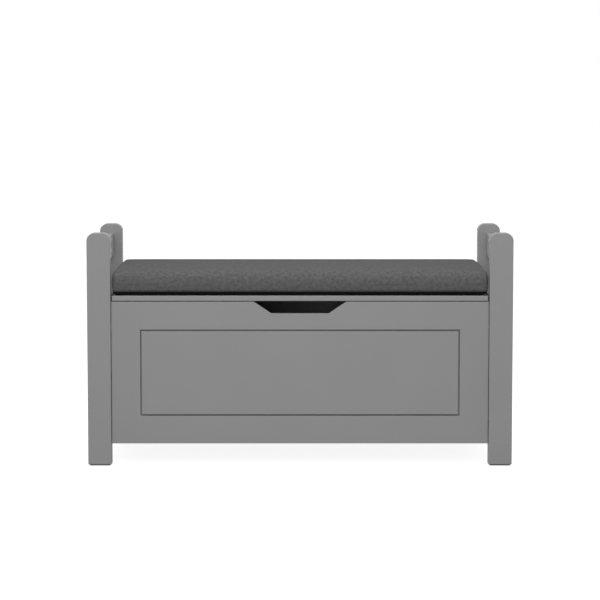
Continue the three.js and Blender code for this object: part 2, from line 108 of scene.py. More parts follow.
class Graph:
    """A node tree that is wired by the names or numbers of its sockets."""

    def __init__(self, tree: bpy.types.NodeTree) -> None:
        """Takes over a tree.

        Args:
            tree: The material's, world's or Geometry Nodes tree.
        """
        self.tree = tree

    def add(self, kind: str, inputs: Inputs | None = None, **settings: object) -> bpy.types.Node:
        """Adds a node.

        Args:
            kind: The node's type name.
            inputs: Values or sockets for its inputs.
            **settings: The node's own properties.

        Returns:
            The node.
        """
        node = self.tree.nodes.new(kind)
        for key, value in settings.items():
            setattr(node, key, value)
        for key, value in (inputs or {}).items():
            self.feed(node.inputs[key], value)
        return node

    def feed(self, target: Socket, value: object) -> None:
        """Links a socket to an input, or gives the input a value.

        Args:
            target: The input.
            value: A socket, a list of sockets, or a plain value.
        """
        sockets = value if isinstance(value, list) else [value]
        if isinstance(sockets[0], Socket):
            for socket in sockets:
                self.tree.links.new(socket, target)
        else:
            target.default_value = value

    def math(self, operation: str, *values: object) -> Socket:
        """Adds a Math node.

        Args:
            operation: The node's operation.
            *values: Its inputs, in order.

        Returns:
            The result's socket.
        """
        return self.add("ShaderNodeMath", dict(enumerate(values)), operation=operation).outputs[0]

    def times(self, first: object, second: object) -> Socket:
        """Returns the socket of a product."""
        return self.math("MULTIPLY", first, second)

    def blend(self, first: object, second: object, share: float) -> Socket:
        """Returns the socket of two values' mean, with the second one's share given."""
        return self.math("ADD", self.times(first, 1 - share), self.times(second, share))

    def vector(self, x: object = 0.0, y: object = 0.0, z: object = 0.0) -> Socket:
        """Returns the socket of a vector made of three values or sockets."""
        return self.add("ShaderNodeCombineXYZ", {0: x, 1: y, 2: z}).outputs[0]

    def choice(self, factor: object, first: object, second: object) -> Socket:
        """Returns the socket of the first value where a factor is 0 and of the second where it is 1."""
        return self.add("ShaderNodeMix", {0: factor, 2: first, 3: second}, data_type="FLOAT").outputs[0]

    def noise(self, place: object, scale: float | Triple, detail: float = 2.0,
              roughness: float = 0.5) -> Socket:
        """Adds a noise texture.

        Args:
            place: The socket with the coordinates.
            scale: How many times it repeats in a metre, roughly, in all or along each axis.
            detail: The number of finer layers.
            roughness: How strong the finer layers are.

        Returns:
            The noise value's socket.
        """
        if isinstance(scale, tuple):
            place = self.add("ShaderNodeMapping", {"Vector": place, "Scale": scale}).outputs[0]
            scale = 1.0
        inputs = {"Vector": place, "Scale": scale, "Detail": detail, "Roughness": roughness}
        return self.add("ShaderNodeTexNoise", inputs).outputs[0]

    def spread(self, value: object, source: Span, target: Span = FULL_RANGE) -> Socket:
        """Maps a value from one range to another, held at its ends.

        Args:
            value: The value's socket.
            source: The range that the value comes in.
            target: The range that it is mapped to.

        Returns:
            The mapped value's socket.
        """
        limits = dict(enumerate((*source, *target), 1))
        return self.add("ShaderNodeMapRange", {"Value": value} | limits).outputs[0]

    def tint(self, factor: object, low: object, high: object) -> Socket:
        """Mixes two colours.

        Args:
            factor: 0 for the first colour and 1 for the second.
            low: The first colour, as three numbers or a socket.
            high: The second colour.

        Returns:
            The mixed colour's socket.
        """
        ends = [(*c, 1.0) if isinstance(c, tuple) else c for c in (low, high)]
        inputs = {0: factor, 6: ends[0], 7: ends[1]}
        return self.add("ShaderNodeMix", inputs, data_type="RGBA").outputs[2]

    def bump(self, height: object, depth: float, strength: float) -> Socket:
        """Turns a height into a normal.

        Args:
            height: The socket with a height from 0 to 1.
            depth: The height in metres that 1 stands for.
            strength: How much of the effect is kept.

        Returns:
            The normal's socket.
        """
        inputs = {"Height": height, "Distance": depth, "Strength": strength}
        return self.add("ShaderNodeBump", inputs).outputs[0]


# ------------ finishes


@dataclass(frozen=True)
class Finish(ABC):
    """A finish: its material's name, its slot in the record and its colour."""

    name: str
    slot: str
    colour: Triple
    roughness: float

    def material(self) -> bpy.types.Material:
        """Gives the finish's material, which is made the first time.

        Returns:
            The material.
        """
        known = bpy.data.materials.get(self.name)
        if known:
            return known
        material = bpy.data.materials.new(self.name)
        material.use_nodes = True
        graph = Graph(material.node_tree)
        shader = material.node_tree.nodes["Principled BSDF"]
        shader.inputs["Roughness"].default_value = self.roughness
        place = graph.add("ShaderNodeTexCoord").outputs["Object"]
        self.wire(graph, shader.inputs, place)
        return material

    @abstractmethod
    def wire(self, graph: Graph, shader: bpy.types.NodeInputs, place: object) -> None:
        """Wires the shader's inputs.

        Args:
            graph: The material's node tree.
            shader: The inputs of its Principled BSDF.
            place: The socket with the object coordinates.
        """

    def toned(self, by: float) -> Triple:
        """Returns the finish's colour made lighter or darker by a factor."""
        return tuple(min(channel * by, 1.0) for channel in self.colour)

    def swing(self, graph: Graph, shade: object, darker: float, lighter: float) -> Socket:
        """Returns the socket of the finish's colour, swung between two factors by a shade."""
        return graph.tint(shade, self.toned(darker), self.toned(lighter))


@dataclass(frozen=True)
class RolledPaint(Finish):
    """Satin paint, rolled onto smooth board: a fine stipple and a slight mottling."""

    stipple: float = 0.0013
    stipple_depth: float = 0.00006
    stipple_strength: float = 0.6
    cloud_scale: float = 7.0
    fleck_size: float = 0.6
    fleck_share: float = 0.3
    mottling: float = 0.025
    glossier: float = 0.04
    duller: float = 0.05
    specular: float = 0.08

    def wire(self, graph: Graph, shader: bpy.types.NodeInputs, place: object) -> None:
        """Wires the stipple, the mottling and a roughness that varies with it."""
        cloud = graph.noise(place, self.cloud_scale, detail=3.0)
        fleck = graph.noise(place, self.fleck_size / self.stipple, roughness=0.6)
        shade = graph.spread(graph.blend(cloud, fleck, self.fleck_share), NOISE_RANGE)
        graph.feed(shader["Base Color"], self.swing(graph, shade, 1 - self.mottling, 1 + self.mottling))
        gloss = (self.roughness - self.glossier, self.roughness + self.duller)
        graph.feed(shader["Roughness"], graph.spread(cloud, NOISE_RANGE, gloss))
        peel = graph.noise(place, 1 / self.stipple, detail=3.0, roughness=0.55)
        graph.feed(shader["Normal"], graph.bump(peel, self.stipple_depth, self.stipple_strength))
        shader["Specular IOR Level"].default_value = self.specular


@dataclass(frozen=True)
class MelangeWeave(Finish):
    """Plain weave of mottled yarns. It reads the map `weave`, in metres, and a point mask for the near-black
    underside cloth, which also stands in for the shade where the cushion's foot rounds under.
    """

    pitch: float = 0.00135
    depth: float = 0.0004
    strength: float = 0.5
    dip: float = 0.45
    contrast: float = 0.42
    yarn_step: float = 7.31
    mottle_scale: float = 160.0
    warp_start: float = 3.0
    weft_start: float = 47.0
    slub_scale: Triple = (110.0, 140.0, 1.0)
    slub_share: float = 0.4
    crown_light: Span = (0.72, 1.08)
    # painted shade: the factors on the colour in the hollows between yarns and on their crowns
    sheen: float = 0.05
    # near-black: the underside cloth, and painted shade where the cushion's foot rounds under
    underside: Triple = (0.006, 0.006, 0.0065)

    def wire(self, graph: Graph, shader: bpy.types.NodeInputs, place: object) -> None:
        """Wires the yarns' crossings, their mottled colours with painted shade in the hollows, and the
        near-black underside cloth, which also paints shade up the cushion's foot.
        """
        weave = graph.add("ShaderNodeUVMap", uv_map="weave").outputs[0]
        axes = graph.add("ShaderNodeSeparateXYZ", {0: weave}).outputs
        along = [graph.math("DIVIDE", axes[i], self.pitch) for i in range(2)]
        cell = [graph.math("FLOOR", value) for value in along]
        inside = [graph.math("SUBTRACT", graph.math("FRACT", value), 0.5) for value in along]
        hump = [graph.math("COSINE", graph.times(value, math.pi)) for value in inside]
        warp_over = graph.math("FLOORED_MODULO", graph.math("ADD", *cell), 2.0)

        def yarn(across: int, length: int, start: float) -> tuple[Socket, Socket]:
            """Returns the sockets of one set of yarns' tone and height."""
            tone_at = graph.vector(graph.times(cell[across], self.yarn_step),
                                   graph.times(axes[length], self.mottle_scale), start)
            fall = graph.math("MULTIPLY_ADD", hump[length], self.dip, 1 - self.dip)
            tone = graph.noise(tone_at, 1.0, detail=3.0, roughness=0.65)
            return tone, graph.times(hump[across], fall)

        warp_tone, warp_height = yarn(0, 1, self.warp_start)
        weft_tone, weft_height = yarn(1, 0, self.weft_start)
        height = graph.choice(warp_over, weft_height, warp_height)
        slub = graph.noise(weave, self.slub_scale)
        tone = graph.blend(graph.choice(warp_over, weft_tone, warp_tone), slub, self.slub_share)
        cloth = self.swing(graph, graph.spread(tone, NOISE_RANGE), 1 - self.contrast, 1 + self.contrast)
        # Painted shade: the yarns' colour is darkened in the hollows between them and lightened on their
        # crowns, by their height.
        lit = {0: cloth, "Scale": graph.spread(height, FULL_RANGE, self.crown_light)}
        cloth = graph.add("ShaderNodeVectorMath", lit, operation="SCALE").outputs[0]
        # Painted shade: the near-black underside cloth reaches up the rounded foot, where it stands in for
        # the shadow between cushion and lid.
        below = graph.add("ShaderNodeAttribute", attribute_name="underside").outputs["Fac"]
        graph.feed(shader["Base Color"], graph.tint(below, cloth, self.underside))
        graph.feed(shader["Normal"], graph.bump(height, self.depth, self.strength))
        shader["Specular IOR Level"].default_value = 0.0
        shader["Sheen Weight"].default_value = self.sheen


@dataclass(frozen=True)
class PlatedSteel(Finish):
    """Bright plated steel: faint rolling lines and a cloudy gloss."""

    line_scale: Triple = (60.0, 2200.0, 2200.0)
    line_depth: float = 0.00001
    line_strength: float = 0.4
    cloud_scale: float = 90.0
    cloudiness: float = 0.12
    glossier: float = 0.07
    duller: float = 0.08

    def wire(self, graph: Graph, shader: bpy.types.NodeInputs, place: object) -> None:
        """Wires the rolling lines, the cloudy gloss and the metal's tone."""
        cloud = graph.noise(place, self.cloud_scale, detail=3.0)
        graph.feed(shader["Base Color"], self.swing(graph, cloud, 1 - self.cloudiness, 1 + self.cloudiness))
        gloss = (self.roughness - self.glossier, self.roughness + self.duller)
        graph.feed(shader["Roughness"], graph.spread(cloud, NOISE_RANGE, gloss))
        lines = graph.noise(place, self.line_scale)
        graph.feed(shader["Normal"], graph.bump(lines, self.line_depth, self.line_strength))
        shader["Metallic"].default_value = 1.0


@dataclass(frozen=True)
class FineGrain(Finish):
    """A matt material with a fine grain, such as felt, rubber or hook tape."""

    grain: float = 0.0008
    depth: float = 0.0002
    strength: float = 0.7
    tone: float = 0.3
    sheen: float = 0.0

    def wire(self, graph: Graph, shader: bpy.types.NodeInputs, place: object) -> None:
        """Wires the grain's tone and height."""
        speck = graph.noise(place, 1 / self.grain, detail=3.0, roughness=0.7)
        shade = graph.spread(speck, NOISE_RANGE)
        graph.feed(shader["Base Color"], self.swing(graph, shade, 1 - self.tone, 1 + self.tone))
        graph.feed(shader["Normal"], graph.bump(speck, self.depth, self.strength))
        shader["Sheen Weight"].default_value = self.sheen


@dataclass(frozen=True)
class TurnedBeech(Finish):
    """Bare beech with its grain along Y and short darker flecks."""

    grain_scale: Triple = (420.0, 14.0, 420.0)
    fleck_scale: Triple = (1500.0, 180.0, 1500.0)
    fleck_range: Span = (0.12, 0.4)
    darkest: float = 0.7
    lightest: float = 1.1
    depth: float = 0.00008
    strength: float = 0.5

    def wire(self, graph: Graph, shader: bpy.types.NodeInputs, place: object) -> None:
        """Wires the grain and the flecks."""
        grain = graph.noise(place, self.grain_scale, detail=4.0, roughness=0.6)
        fleck = graph.noise(place, self.fleck_scale, detail=1.0)
        shade = graph.spread(graph.times(grain, fleck), self.fleck_range)
        graph.feed(shader["Base Color"], self.swing(graph, shade, self.darkest, self.lightest))
        graph.feed(shader["Normal"], graph.bump(grain, self.depth, self.strength))


PAINT = RolledPaint("satin_grey_paint", "grey_paint", (0.275, 0.275, 0.275), 0.46)
CLOTH = MelangeWeave("dark_melange_cloth", "seat_fabric", (0.121, 0.121, 0.121), 0.95)
THREAD = FineGrain("dark_thread", "seat_fabric", (0.035, 0.035, 0.036), 0.8, grain=0.0003, sheen=0.2)
ZIP_TAPE = FineGrain("black_zip_tape", "seat_fabric", (0.014, 0.014, 0.014), 0.85, grain=0.0005)
ZINC = PlatedSteel("bright_zinc", "zinc_steel", (0.5, 0.51, 0.52), 0.34)
STEEL = PlatedSteel("plain_steel", "pin_steel", (0.4, 0.41, 0.42), 0.3)
FELT = FineGrain("pressed_felt", "felt", (0.16, 0.16, 0.16), 1.0, grain=0.0006, tone=0.45, sheen=0.3)
RUBBER = FineGrain("matt_rubber", "rubber", (0.03, 0.03, 0.03), 0.7, grain=0.0004, depth=0.00004, tone=0.12)
HOOK_TAPE = FineGrain("hook_tape", "hook_and_loop", (0.012, 0.012, 0.012), 0.9, grain=0.0011, depth=0.0006)
BEECH = TurnedBeech("bare_beech", "beech", (0.56, 0.38, 0.2), 0.65)


# ------------ outlines


class Axis(Enum):
    """The axis that a flat piece is thick along, or that a turned piece turns about."""

    X = 0
    Y = 1
    Z = 2

    def place(self, u: float, v: float, w: float) -> Vector:
        """Returns the point for an outline's (u, v) at w along this axis."""
        return Vector((*(u, v)[:self.value], w, *(u, v)[self.value:]))

    def flat(self, parts: Iterable) -> tuple:
        """Returns the two of three coordinates, or spans, that lie across this axis."""
        return tuple(part for i, part in enumerate(parts) if i != self.value)


def around(centre: float, half: float) -> Span:
    """Returns the span of a half size to each side of a centre."""
    return centre - half, centre + half


def ordered(first: float, second: float) -> Span:
    """Returns two limits as a span, the lower one first."""
    return min(first, second), max(first, second)


def middle(span: Span) -> float:
    """Returns a span's middle."""
    return (span[0] + span[1]) / 2


def outer(span: Span, way: int) -> float:
    """Returns the limit of a span that lies furthest along a direction, 1 or -1."""
    return span[way > 0]


def wider(span: Span, by: float) -> Span:
    """Returns a span with both its limits moved outwards."""
    return span[0] - by, span[1] + by


def lerp(first: Point, last: Point, share: float) -> Point:
    """Returns the point that is a share of the way from one point to another."""
    return first[0] + (last[0] - first[0]) * share, first[1] + (last[1] - first[1]) * share


def arc(centre: Point, radius: float, start: float, end: float, steps: int) -> Loop:
    """Points along an arc.

    Args:
        centre: The arc's centre.
        radius: Its radius.
        start: The angle of its first point, in degrees.
        end: The angle of its last point.
        steps: The number of straight steps.

    Returns:
        One point more than there are steps.
    """
    turns = [math.radians(start + (end - start) * i / steps) for i in range(steps + 1)]
    return [(centre[0] + radius * math.cos(t), centre[1] + radius * math.sin(t)) for t in turns]


def rectangle(u: Span, v: Span, low: float = 0.0, high: float | None = None, steps: int = 8) -> Loop:
    """A rectangle with rounded corners, counter-clockwise.

    Args:
        u: Its limits across.
        v: Its limits up.
        low: The radius of its two lower corners.
        high: The radius of its two upper corners, or None for the same.
        steps: The steps in each rounded corner.

    Returns:
        The outline.
    """
    high = low if high is None else high
    corners = ((u[1], v[0], -1, 1, low, 270), (u[1], v[1], -1, -1, high, 0),
               (u[0], v[1], 1, -1, high, 90), (u[0], v[0], 1, 1, low, 180))
    outline = []
    for at_u, at_v, in_u, in_v, radius, start in corners:
        if radius == 0:
            outline.append((at_u, at_v))
        else:
            centre = (at_u + in_u * radius, at_v + in_v * radius)
            outline += arc(centre, radius, start, start + 90, steps)
    return outline


def stadium(first: Point, last: Point, radius: float, steps: int = 16) -> Loop:
    """A bar with round ends, counter-clockwise.

    Args:
        first: The centre of one end.
        last: The centre of the other.
        radius: Half the bar's width.
        steps: The steps in each round end.

    Returns:
        The outline.
    """
    heading = math.degrees(math.atan2(last[1] - first[1], last[0] - first[0]))
    return [*arc(last, radius, heading - 90, heading + 90, steps),
            *arc(first, radius, heading + 90, heading + 270, steps)]


def circle(centre: Point, radius: float, sides: int = 32) -> Loop:
    """Returns a circle, counter-clockwise."""
    return arc(centre, radius, 0, 360, sides)[:-1]


def inset(loop: Loop, by: float) -> Loop:
    """Moves a closed loop towards its left, which is inwards if it runs counter-clockwise.

    Args:
        loop: The loop.
        by: How far each of its sides moves.

    Returns:
        The moved loop, with as many points.
    """
    moved = []
    points = [Vector(p) for p in loop]
    for i, here in enumerate(points):
        before = (here - points[i - 1]).normalized()
        after = (points[(i + 1) % len(points)] - here).normalized()
        normals = Vector((-before.y, before.x)), Vector((-after.y, after.x))
        mitre = normals[0] + normals[1]
        mitre /= max(mitre.dot(normals[0]), SHARPEST)
        moved.append(tuple(here + mitre * by))
    return moved


# ------------ meshes


def piece_of(name: str, points: Iterable[Sequence[float]], faces: Iterable[Sequence[int]]) -> Piece:
    """Makes an object from points and faces, with its faces turned outwards.

    Args:
        name: The object's name.
        points: Its points.
        faces: Its faces, as numbers of points.

    Returns:
        The object, in the scene.
    """
    mesh = bpy.data.meshes.new(name)
    mesh.from_pydata([tuple(p) for p in points], [], [tuple(f) for f in faces])
    turn_outwards(mesh)
    return linked(name, mesh)


def linked(name: str, data: bpy.types.ID | None) -> Piece:
    """Makes an object of a mesh, a lamp or a camera, and links it to the scene.

    Args:
        name: The object's name.
        data: Its data.

    Returns:
        The object.
    """
    made = bpy.data.objects.new(name, data)
    bpy.context.scene.collection.objects.link(made)
    return made


def turn_outwards(mesh: bpy.types.Mesh) -> None:
    """Merges a mesh's doubles and turns its faces outwards.

    Args:
        mesh: The mesh.
    """
    work = bmesh.new()
    work.from_mesh(mesh)
    bmesh.ops.remove_doubles(work, verts=work.verts, dist=SAME_POINT)
    bmesh.ops.recalc_face_normals(work, faces=work.faces)
    work.to_mesh(mesh)
    work.free()


def slab(name: str, outline: Loop, axis: Axis, span: Span, edge: float = 0.0, steps: int = 4,
         holes: Sequence[Loop] = ()) -> Piece:
    """A flat piece with rounded edges.

    Args:
        name: The object's name.
        outline: Its outline, counter-clockwise, as (y, z), (x, z) or (x, y).
        axis: The axis that it is thick along.
        span: Its limits along that axis.
        edge: The radius of its edges, on its holes too.
        steps: The steps in each rounded edge.
        holes: The outlines of its holes, counter-clockwise.

    Returns:
        The object.
    """
    low, high = ordered(*span)
    turns = [math.pi / 2 * i / steps for i in range(steps + 1)] if edge else [0.0]
    rise = [(edge * (1 - math.cos(t)), high - edge + edge * math.sin(t)) for t in turns]
    rings = [(by, low + high - w) for by, w in reversed(rise)] + rise
    loops = [outline, *(list(reversed(hole)) for hole in holes)]
    points, faces, caps = [], [], []
    for loop in loops:
        base, count = len(points), len(loop)
        for by, w in rings:
            points += [axis.place(u, v, w) for u, v in (inset(loop, by) if by else loop)]
        for ring in range(len(rings) - 1):
            a, b = base + ring * count, base + (ring + 1) * count
            faces += wall(range(a, a + count), range(b, b + count))
        caps.append((base, count))
    for ring in (0, len(rings) - 1):
        rims = [range(base + ring * count, base + (ring + 1) * count) for base, count in caps]
        order = [number for rim in rims for number in rim]
        flat = [[Vector((*axis.flat(points[number]), 0.0)) for number in rim] for rim in rims]
        faces += [tuple(order[i] for i in corner) for corner in tessellate_polygon(flat)]
    return piece_of(name, points, faces)


def wall(below: Sequence[int], above: Sequence[int]) -> list[tuple[int, ...]]:
    """The faces between two rings of points.

    Args:
        below: The numbers of one ring's points.
        above: The numbers of the other's, as many.

    Returns:
        A face for each side, without its doubled corners.
    """
    count = len(below)
    corners = [(below[i], below[(i + 1) % count], above[(i + 1) % count], above[i]) for i in range(count)]
    return [face for face in (tuple(dict.fromkeys(c)) for c in corners) if len(face) > 2]


def turned(name: str, profile: Sequence[Point], axis: Axis, centre: Point, sides: int = 40) -> Piece:
    """A piece turned about an axis.

    Args:
        name: The object's name.
        profile: Its (radius, place along the axis) points. It closes at radius 0, or on itself.
        axis: The axis that it turns about.
        centre: The axis's two other coordinates.
        sides: The steps in a full turn.

    Returns:
        The object.
    """
    points, rings = [], []
    for radius, w in profile:
        if radius == 0:
            points.append(axis.place(*centre, w))
            rings.append([len(points) - 1] * sides)
            continue
        rings.append(list(range(len(points), len(points) + sides)))
        points += [axis.place(u, v, w) for u, v in circle(centre, radius, sides)]
    if profile[0][0] or profile[-1][0]:
        rings.append(rings[0])
    faces = [face for below, above in zip(rings, rings[1:]) for face in wall(below, above)]
    return piece_of(name, points, faces)


def rod(name: str, radius: float, span: Span, axis: Axis, centre: Point, bevel: float = 0.0,
        sides: int = 40) -> Piece:
    """A round rod.

    Args:
        name: The object's name.
        radius: Its radius.
        span: Where it starts and ends along its axis.
        axis: The axis that it lies along.
        centre: The axis's two other coordinates.
        bevel: The width of the bevel at each end.
        sides: The steps in a full turn.

    Returns:
        The object.
    """
    start, end = span
    ends = [(radius, start), (radius, end)]
    if bevel:
        ends = [(radius - bevel, start), (radius, start + bevel),
                (radius, end - bevel), (radius - bevel, end)]
    return turned(name, [(0.0, start), *ends, (0.0, end)], axis, centre, sides)


def swept_frame(name: str, u: Span, v: Span, axis: Axis, profile: Sequence[Point]) -> Piece:
    """A rectangular frame with mitred corners.

    Args:
        name: The object's name.
        u: The limits of the frame's centre line across.
        v: Its limits up.
        axis: The axis across the frame's plane.
        profile: The closed section, as (outwards from the centre line, along the axis).

    Returns:
        The object.
    """
    points, faces = [], []
    for out, w in profile:
        ring = rectangle((u[0] - out, u[1] + out), (v[0] - out, v[1] + out))
        points += [axis.place(*p, w) for p in ring]
    for step in range(len(profile)):
        a, b = 4 * step, 4 * ((step + 1) % len(profile))
        faces += wall(range(a, a + 4), range(b, b + 4))
    return piece_of(name, points, faces)


def bake(piece: Piece) -> Piece:
    """Turns an object's evaluated shape into its plain mesh and removes its modifiers.

    Args:
        piece: The object.

    Returns:
        The object.
    """
    graph = bpy.context.evaluated_depsgraph_get()
    mesh = bpy.data.meshes.new_from_object(piece.evaluated_get(graph), depsgraph=graph)
    piece.modifiers.clear()
    old, piece.data = piece.data, mesh
    mesh.name = piece.name
    bpy.data.meshes.remove(old)
    return piece


class Work(Enum):
    """What is done to a piece with its tools."""

    CUT = "DIFFERENCE"
    JOIN = "UNION"


def combine(piece: Piece, tools: Sequence[Piece], work: Work = Work.CUT) -> Piece:
    """Cuts tools out of a piece, or joins them to it, and removes them.

    Args:
        piece: The piece.
        tools: Closed objects, each used in a step of its own.
        work: Whether they are cut out or joined.

    Returns:
        The piece, with its modifiers applied.
    """
    for tool in tools:
        modifier = piece.modifiers.new(tool.name, "BOOLEAN")
        modifier.operation = work.value
        modifier.solver = "EXACT"
        modifier.object = tool
    bake(piece)
    discard(tools)
    return piece


def discard(pieces: Iterable[Piece]) -> None:
    """Removes pieces and their meshes.

    Args:
        pieces: The pieces.
    """
    for piece in pieces:
        mesh = piece.data
        bpy.data.objects.remove(piece)
        bpy.data.meshes.remove(mesh)


def joined(name: str, parts: Sequence[Piece]) -> Piece:
    """Makes one object of several separate ones.

    Args:
        name: The new object's name.
        parts: The objects, which are removed.

    Returns:
        The object.
    """
    work = bmesh.new()
    for part in parts:
        work.from_mesh(part.data)
    mesh = bpy.data.meshes.new(name)
    work.to_mesh(mesh)
    work.free()
    discard(parts)
    return linked(name, mesh)


def shaded(piece: Piece) -> Piece:
    """Shades a piece smooth, with sharp creases and with normals led by its large faces.

    Args:
        piece: The piece.

    Returns:
        The piece.
    """
    turn_outwards(piece.data)
    piece.data.shade_smooth()
    piece.data.set_sharp_from_angle(angle=CREASE)
    modifier = piece.modifiers.new("weighted", "WEIGHTED_NORMAL")
    modifier.keep_sharp = True
    return bake(piece)


def hand_over(piece: Piece, finish: Finish, body: str, *nodes: str) -> Piece:
    """Gives a finished piece its material and its body, and hides the nodes it stands for.

    Args:
        piece: The piece.
        finish: Its finish.
        body: The body that it rides on.
        *nodes: The CAD nodes that it stands for.

    Returns:
        The piece.
    """
    piece.data.materials.clear()
    piece.data.materials.append(finish.material())
    if nodes:
        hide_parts(*nodes)
    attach(piece, body)
    LOG.info("%s rides on %s in %s, %d faces", piece.name, body, finish.name, len(piece.data.polygons))
    return piece


def spans(node: str) -> tuple[Span, Span, Span]:
    """Returns a CAD node's limits along X, Y and Z."""
    low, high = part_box(node)
    return tuple((low[i], high[i]) for i in range(3))


def reach(node: str) -> Span:
    """Returns how far from the bench's middle a CAD node of one side starts and ends."""
    x, _, _ = spans(node)
    return ordered(abs(x[0]), abs(x[1]))


def sided(profile: Iterable[Point], side: str) -> list[Point]:
    """Returns a profile along X, given as distances from the bench's middle, for one side."""
    return [(radius, SIDES[side] * x) for radius, x in profile]


def board(node: str, ending: str, axis: Axis, corner: float, edge: float, corner_steps: int = 8,
          edge_steps: int = 4) -> Piece:
    """A flat piece that fills a CAD node's box.

    Args:
        node: The node.
        ending: What the piece's name adds to the node's.
        axis: The axis that it is thick along.
        corner: The radius of its corners.
        edge: The radius of its edges.
        corner_steps: The steps in each rounded corner.
        edge_steps: The steps in each rounded edge.

    Returns:
        The object.
    """
    box = spans(node)
    outline = rectangle(*axis.flat(box), corner, steps=corner_steps)
    return slab(f"{node}_{ending}", outline, axis, box[axis.value], edge, edge_steps)


# ------------ repeated fittings


class Kind(Enum):
    """The sockets that a Geometry Nodes tree takes its inputs by."""

    LENGTH = "NodeSocketFloat"
    COUNT = "NodeSocketInt"
    MATERIAL = "NodeSocketMaterial"


class Fitting(ABC):
    """A small fitting, repeated at points by a Geometry Nodes tree.

    A subclass is a dataclass, and each of its fields is one of the tree's named inputs.
    """

    title: ClassVar[str]

    def __post_init__(self) -> None:
        """Builds the tree: the fitting, instanced on the points along their aim."""
        self.tree = bpy.data.node_groups.new(self.title, "GeometryNodeTree")
        self.graph = Graph(self.tree)
        face = self.tree.interface
        face.new_socket("Places", in_out="INPUT", socket_type="NodeSocketGeometry")
        kinds = {name: kind for name, (kind, _) in self.inputs().items()} | {"Finish": Kind.MATERIAL}
        self.sockets = {name: face.new_socket(name, in_out="INPUT", socket_type=kind.value)
                        for name, kind in kinds.items()}
        face.new_socket("Fittings", in_out="OUTPUT", socket_type="NodeSocketGeometry")
        self.given = self.graph.add("NodeGroupInput").outputs
        aim = self.graph.add("GeometryNodeInputNamedAttribute", {"Name": "aim"}, data_type="FLOAT_VECTOR")
        tilt = self.graph.add("FunctionNodeAlignRotationToVector", {"Vector": aim.outputs[0]}, axis="Z")
        turn = self.graph.add("FunctionNodeRotateRotation", {0: tilt.outputs[0], 1: self.spin()},
                              rotation_space="LOCAL")
        placed = self.graph.add("GeometryNodeInstanceOnPoints", {
            "Points": self.given["Places"], "Instance": self.shape(), "Rotation": turn.outputs[0],
        })
        real = self.graph.add("GeometryNodeRealizeInstances", {0: placed.outputs[0]})
        dressed = self.graph.add("GeometryNodeSetMaterial", {
            "Geometry": real.outputs[0], "Material": self.given["Finish"],
        })
        self.graph.add("NodeGroupOutput", {0: dressed.outputs[0]})

    def inputs(self) -> dict[str, tuple[Kind, float]]:
        """Returns the tree's named inputs, each with its kind and value, from the fields."""
        return {size.name.replace("_", " ").title():
                (Kind.COUNT if size.type is int else Kind.LENGTH, getattr(self, size.name))
                for size in fields(self)}

    @abstractmethod
    def shape(self) -> Socket:
        """Returns the socket of the fitting's own shape, with its outer face at z 0."""

    def spin(self) -> Socket:
        """Returns the rotation about each fitting's own axis."""
        return self.graph.add("FunctionNodeEulerToRotation", {0: (0.0, 0.0, 0.0)}).outputs[0]

    def below(self, size: object, by: float = 1.0) -> Socket:
        """Returns the socket of a size times a factor, measured down from the outer face."""
        return self.graph.times(size, -by)

    def moved(self, mesh: object, z: object = 0.0, **settings: object) -> Socket:
        """Returns the socket of a mesh that is moved along Z, and turned or scaled as well."""
        inputs = {"Geometry": mesh, "Translation": self.graph.vector(z=z)} | settings
        return self.graph.add("GeometryNodeTransform", inputs).outputs[0]

    def cone(self, top: object, bottom: object, depth: object, z: object, sides: int) -> Socket:
        """A cone cut off flat.

        Args:
            top: The radius of its top.
            bottom: The radius of its bottom.
            depth: Its height.
            z: Where its bottom is.
            sides: The steps in a full turn.

        Returns:
            The mesh's socket.
        """
        inputs = {"Vertices": sides, "Radius Top": top, "Radius Bottom": bottom, "Depth": depth}
        return self.moved(self.graph.add("GeometryNodeMeshCone", inputs).outputs[0], z)

    def drum(self, radius: object, depth: object, z: object, sides: int, **settings: object) -> Socket:
        """A round bar.

        Args:
            radius: Its radius.
            depth: Its length.
            z: Where its middle is.
            sides: The steps in a full turn.
            **settings: A rotation, if it does not lie along Z.

        Returns:
            The mesh's socket.
        """
        inputs = {"Vertices": sides, "Radius": radius, "Depth": depth}
        return self.moved(self.graph.add("GeometryNodeMeshCylinder", inputs).outputs[0], z, **settings)

    def block(self, x: object, y: object, z: object, shift: object = 0.0) -> Socket:
        """Returns the socket of a box of three sizes, moved along Z."""
        mesh = self.graph.add("GeometryNodeMeshCube", {"Size": self.graph.vector(x, y, z)})
        return self.moved(mesh.outputs[0], shift)

    def united(self, *parts: Socket) -> Socket:
        """Returns the socket of several closed meshes as one closed mesh."""
        return self.graph.add("GeometryNodeMeshBoolean", {"Mesh 2": list(parts)}, operation="UNION",
                              solver="EXACT").outputs[0]

    def less(self, body: Socket, *tools: Socket) -> Socket:
        """Returns the socket of a body that tools are cut out of."""
        return self.graph.add("GeometryNodeMeshBoolean", {"Mesh 1": body, "Mesh 2": list(tools)},
                              operation="DIFFERENCE", solver="EXACT").outputs[0]

    def together(self, *parts: Socket) -> Socket:
        """Returns the socket of several meshes as one."""
        return self.graph.add("GeometryNodeJoinGeometry", {0: list(parts)}).outputs[0]

    def fit(self, name: str, places: Places, finish: Finish) -> Piece:
        """Puts a fitting at each place, as one plain mesh.

        Args:
            name: The object's name.
            places: The (point on the surface, direction outwards) of each.
            finish: The fittings' finish.

        Returns:
            The object.
        """
        made = piece_of(name, [point for point, _ in places], [])
        aim = made.data.attributes.new("aim", "FLOAT_VECTOR", "POINT")
        aim.data.foreach_set("vector", [c for _, way in places for c in way])
        modifier = made.modifiers.new(self.title, "NODES")
        modifier.node_group = self.tree
        for label, (_, value) in self.inputs().items():
            modifier[self.sockets[label].identifier] = value
        modifier[self.sockets["Finish"].identifier] = finish.material()
        return shaded(bake(made))


